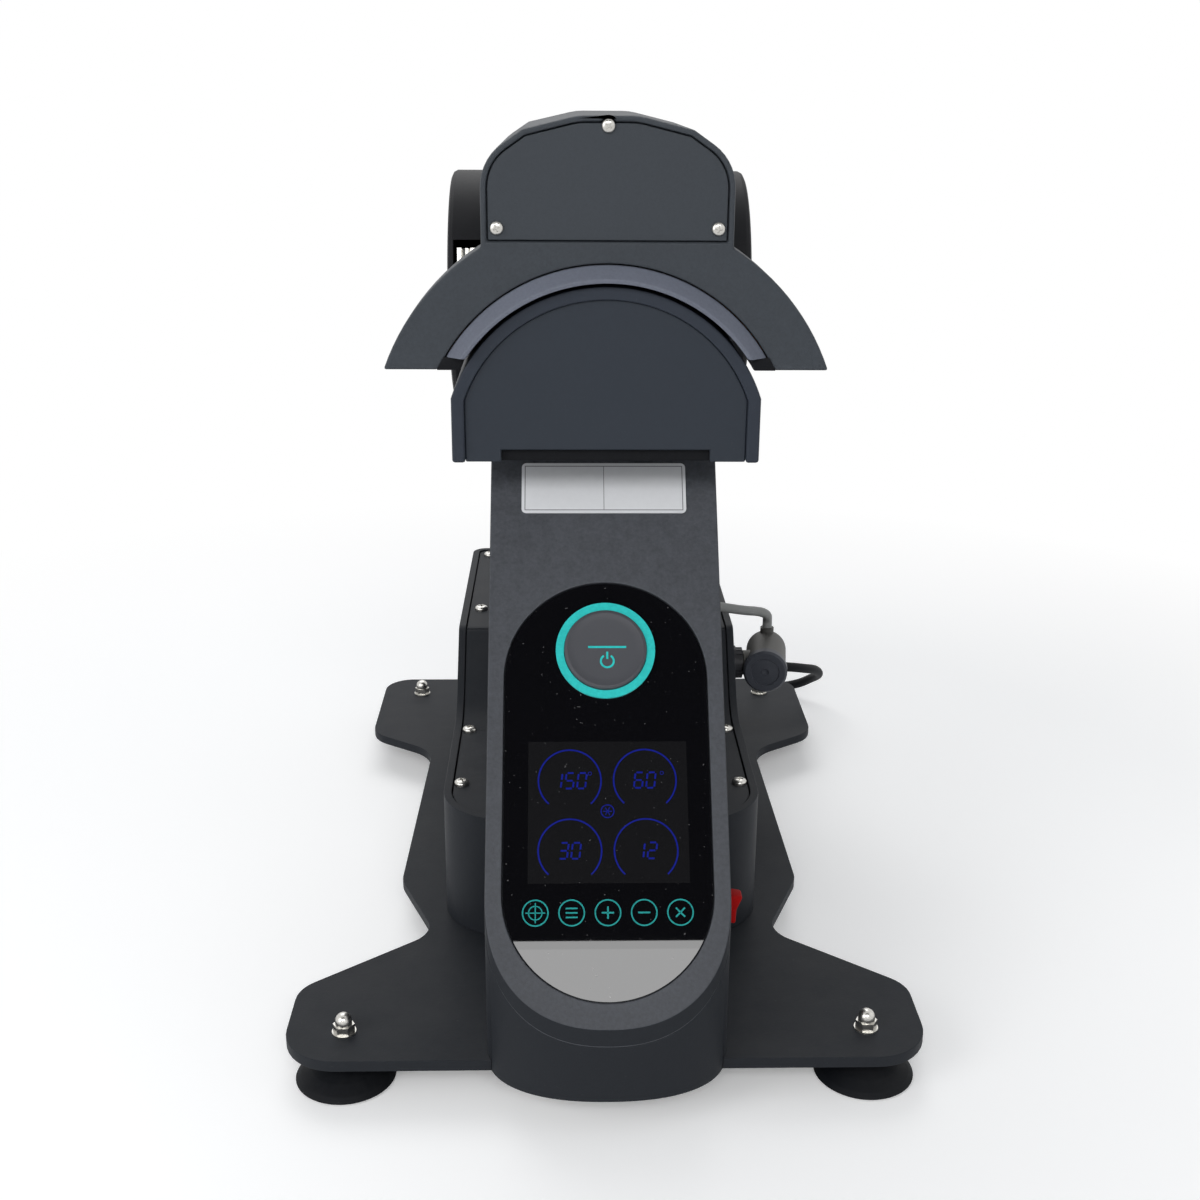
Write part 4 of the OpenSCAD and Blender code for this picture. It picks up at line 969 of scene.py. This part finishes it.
class PRESS_OT_panel_marks(Operator):
    """Display window, its lit gauges and figures, and the key marks on the glass"""
    bl_idname = "press.panel_marks"
    bl_label = "Panel marks"

    def execute(self, context):
        s = sizes()
        window = MarkSheet("display_window")
        window.bar(0.0005, DISPLAY_MIDDLE, 0.0772, 0.0688)
        hand_over(window.finish(GLASS_TOP, 0.00002), "base", "display_blue")
        marks = MarkSheet("display_marks")
        for x, y, figures in ((-0.0180, 0.1168, "150"), (0.0185, 0.1170, "60"), (-0.0180, 0.0828, "30"),
                              (0.0185, 0.0828, "12")):
            marks.arc(x, y, s.gauge_radius, 0.00075, -48, 228, 54)
            marks.number(figures, x, y, 0.0076, 0.00085)
        for x, y in ((-0.0082, 0.1203), (0.0268, 0.1205)):
            marks.arc(x, y, 0.0008, 0.0003, steps=16)
        marks.arc(0.0002, DISPLAY_MIDDLE, 0.0031, 0.0005, steps=32)
        for turn in (0.0, pi / 3, -pi / 3):
            marks.bar(0.0002, DISPLAY_MIDDLE, 0.0042, 0.0004, turn)
        lines = marks.finish(GLASS_TOP + 0.00003, s.print_thickness)
        hand_over(lines, "base", "display_blue", "display_mark")
        self.keys(s.mark_line)
        return {"FINISHED"}

    def keys(self, line):
        """Five ringed marks: an aiming cross, three bars, plus, minus and a cross."""
        keys = MarkSheet("key_marks")
        places = [FIRST_KEY + KEY_PITCH * i for i in range(5)]
        for x in places:
            keys.arc(x, KEY_ROW, 0.0060, line, steps=48)
        aim, bars, more, less, cross = places
        keys.arc(aim, KEY_ROW, 0.0032, line * 0.8, steps=32)
        keys.bar(aim, KEY_ROW, 0.0094, line * 0.8)
        keys.bar(aim, KEY_ROW, line * 0.8, 0.0094)
        for dy in (-0.0021, 0.0, 0.0021):
            keys.bar(bars, KEY_ROW + dy, 0.0056, line * 1.1)
        keys.bar(more, KEY_ROW, line * 1.2, 0.0058)
        for x in (more, less):
            keys.bar(x, KEY_ROW, 0.0058, line * 1.2)
        for turn in (pi / 4, -pi / 4):
            keys.bar(cross, KEY_ROW, 0.0060, line * 1.2, turn)
        hand_over(keys.finish(GLASS_TOP, sizes().print_thickness), "base", "panel_black", "teal_mark")


BUTTON_MIDDLE = (0.0, 0.1828, 0.0)


class PRESS_OT_start_button(Operator):
    """Start button's dished cap with its lit mark"""
    bl_idname = "press.start_button"
    bl_label = "Start button"

    def execute(self, context):
        bottom = -0.0080
        profile = [(0.0176, bottom), (0.0206, bottom + 0.001), (0.0206, 0.0013), (0.02035, 0.0019),
                   (0.0198, 0.0022), (0.0189, 0.00235), (0.0186, 0.0022), (0.0150, 0.00205),
                   (0.0080, 0.0019), (0.0020, 0.00185), (0.0004, 0.00185)]
        cap = turned("start_cap", profile, 96, FACE @ Matrix.Translation(BUTTON_MIDDLE), 25)
        hand_over(cap, "start_key", "button_grey", replaced=("start_button",))
        mark = MarkSheet("start_mark")
        mark.bar(0.0008, 0.1838, 0.0190, 0.0011)
        mark.arc(0.0008, 0.1765, 0.0032, 0.0010, 122, 418, 44)
        mark.bar(0.0008, 0.1795, 0.0010, 0.0038)
        hand_over(mark.finish(0.00207, sizes().print_thickness), "start_key", "button_grey", "teal_ring")
        return {"FINISHED"}


ROCKER_PIVOT = (0.0585, -0.188, 0.084)
ROCKER_TILT = radians(12)
# Half length and width of the rocker, its height at its middle and at its ends, and its dish
ROCKER_HALF, ROCKER_WIDE, ROCKER_MIDDLE, ROCKER_END = 0.0078, 0.0082, 0.0066, 0.0080
ROCKER_DISH = ROCKER_END - ROCKER_MIDDLE


class PRESS_OT_power_rocker(Operator):
    """Red rocker of the power switch, dished, with on and off marks on its two halves"""
    bl_idname = "press.power_rocker"
    bl_label = "Power rocker"

    def execute(self, context):
        upright = at(ROCKER_PIVOT, pi / 2 + ROCKER_TILT, "Y")
        self.cap(upright)
        self.marks(upright)
        return {"FINISHED"}

    def cap(self, upright):
        cap = cube("rocker_cap", (2 * ROCKER_HALF, ROCKER_WIDE, ROCKER_END), (0, 0, ROCKER_END / 2), 1)
        for vertex in cap.data.vertices:
            if vertex.co.z > ROCKER_END * 0.9:
                vertex.co.z = ROCKER_MIDDLE + ROCKER_DISH * abs(vertex.co.x) / ROCKER_HALF
            elif vertex.co.z < ROCKER_END * 0.1:
                vertex.co.x *= 0.92
        ease(cap, 0.0014, 4, 40)
        smooth(27)
        settle(cap, upright)
        hand_over(cap, "power_key", "rocker_red", replaced=("power_rocker",))

    def marks(self, upright):
        made = []
        for sign in (-1, 1):
            middle = (sign * ROCKER_HALF / 2, 0, ROCKER_MIDDLE + ROCKER_DISH / 2)
            half = upright @ at(middle, -sign * atan2(ROCKER_DISH, ROCKER_HALF), "Y")
            mark = MarkSheet("rocker_mark")
            if sign < 0:
                mark.bar(0, 0, 0.0032, 0.0007)
            else:
                mark.arc(0, 0, 0.0015, 0.0006, steps=32)
            made.append(mark.finish(0.00002, sizes().print_thickness, half))
        hand_over(joined(made, "rocker_marks"), "power_key", "rocker_red", "plate_white")


class PRESS_OT_label(Operator):
    """Bare white label with a thin border"""
    bl_idname = "press.label"
    bl_label = "Label"

    def execute(self, context):
        middle, wide, tall = 0.2705, 0.0815, 0.0245
        border = MarkSheet("label_border")
        for sign in (-1, 1):
            border.bar(0, middle + sign * tall / 2, wide, 0.0004)
            border.bar(sign * wide / 2, middle, 0.0004, tall + 0.0004)
        border.bar(0, middle, 0.0003, tall)
        hand_over(border.finish(0.0005, sizes().print_thickness), "base", "plate_white", "label_line")
        return {"FINISHED"}


# Fasteners


def pan_head(name, radius, tall, shank, long):
    """A domed head with a cross recess, on a plain shank, head up from the origin."""
    profile = [(shank, -long), (shank, -0.0001), (radius, 0.0), (radius, tall * 0.35)]
    for i in range(1, 6):
        q = radians(15 * i)
        profile.append((radius * (0.30 + 0.70 * cos(q)), tall * (0.35 + 0.65 * sin(q))))
    profile += [(radius * 0.30, tall), (radius * 0.05, tall)]
    head = turned(name, profile, 40)
    for turn in (0.0, pi / 2):
        slit = block("slit", (radius * 1.05, radius * 0.24, tall), (0, 0, tall * 1.02), 0.0001, 1,
                     Matrix.Rotation(turn + 0.4, 4, "Z"))
        cut(head, slit)
    pick(head)
    smooth(35)
    return head


def solids_of(node):
    """The middle and the lowest height of each separate solid in a CAD node."""
    mesh = bmesh.new()
    mesh.from_mesh(NODES[node].data)
    bmesh.ops.remove_doubles(mesh, verts=mesh.verts, dist=0.00001)
    left, found = set(mesh.verts), []
    while left:
        stack, island = [left.pop()], []
        while stack:
            vertex = stack.pop()
            island.append(vertex.co.copy())
            for edge in vertex.link_edges:
                other = edge.other_vert(vertex)
                if other in left:
                    left.discard(other)
                    stack.append(other)
        ends = [(min(c[i] for c in island), max(c[i] for c in island)) for i in range(3)]
        found.append((Vector([(a + b) / 2 for a, b in ends]), ends[2][0]))
    mesh.free()
    return sorted(found, key=lambda f: [round(v, 4) for v in f[0]])


class PRESS_OT_fasteners(Operator):
    """Cross-head screws of the hood and the covers"""
    bl_idname = "press.fasteners"
    bl_label = "Fasteners"

    def execute(self, context):
        head = pan_head("hood_screw", 0.0032, 0.0022, 0.0015, 0.009)
        front = low("hood_plate").y
        places = [at((c.x, front, c.z), pi / 2, "X") @ Matrix.Rotation(0.5 * i, 4, "Z")
                  for i, (c, foot) in enumerate(solids_of("hood_screws"))]
        heads = copies(head, "hood_screw_heads", places)
        hand_over(heads, "arm", "bright_steel", replaced=("hood_screws",))
        head = pan_head("cover_screw", 0.0042, 0.0029, 0.0015, 0.008)
        places = [at((c.x, c.y, foot + 0.008), 0.7 * i)
                  for i, (c, foot) in enumerate(solids_of("cover_screws"))]
        heads = copies(head, "cover_screw_heads", places)
        hand_over(heads, "base", "bright_steel", replaced=("cover_screws",))
        return {"FINISHED"}


# Finishes of the CAD nodes that stay


class PRESS_OT_cad_finishes(Operator):
    """Gives every CAD node that stays the finish of its material slot"""
    bl_idname = "press.cad_finishes"
    bl_label = "Finishes"

    def execute(self, context):
        for name, part in NODES.items():
            material = finish(OTHER_FINISH.get(name, SLOT_OF[name]))
            if not part.data.materials:
                part.data.materials.append(material)
            for slot in part.material_slots:
                slot.material = material
        return {"FINISHED"}


class PRESS_PT_panel(Panel):
    """Lists the press's sizes, colours and operators"""
    bl_idname = "PRESS_PT_panel"
    bl_label = "Cap Heat Press"
    bl_space_type = "VIEW_3D"
    bl_region_type = "UI"
    bl_category = "Cap Press"

    def draw(self, context):
        for operator in OPERATORS:
            self.layout.operator(operator.bl_idname)
        for group in (context.scene.press_sizes, context.scene.press_colours):
            for key in group.__annotations__:
                self.layout.prop(group, key)


OPERATORS = (PRESS_OT_stage, PRESS_OT_mains_cord, PRESS_OT_heater_lead, PRESS_OT_castings,
             PRESS_OT_gap_shade_blocks, PRESS_OT_panel_marks, PRESS_OT_start_button, PRESS_OT_power_rocker,
             PRESS_OT_label, PRESS_OT_fasteners, PRESS_OT_cad_finishes)
CLASSES = (PressSizes, PressColours, *OPERATORS, PRESS_PT_panel)


def register():
    for made in CLASSES:
        bpy.utils.register_class(made)
    bpy.types.Scene.press_sizes = PointerProperty(type=PressSizes)
    bpy.types.Scene.press_colours = PointerProperty(type=PressColours)


def unregister():
    del bpy.types.Scene.press_sizes
    del bpy.types.Scene.press_colours
    for made in reversed(CLASSES):
        bpy.utils.unregister_class(made)


def main():
    register()
    deselect()
    for operator in OPERATORS:
        group, name = operator.bl_idname.split(".")
        getattr(getattr(bpy.ops, group), name)()
    deselect()


if __name__ == "__main__":
    main()
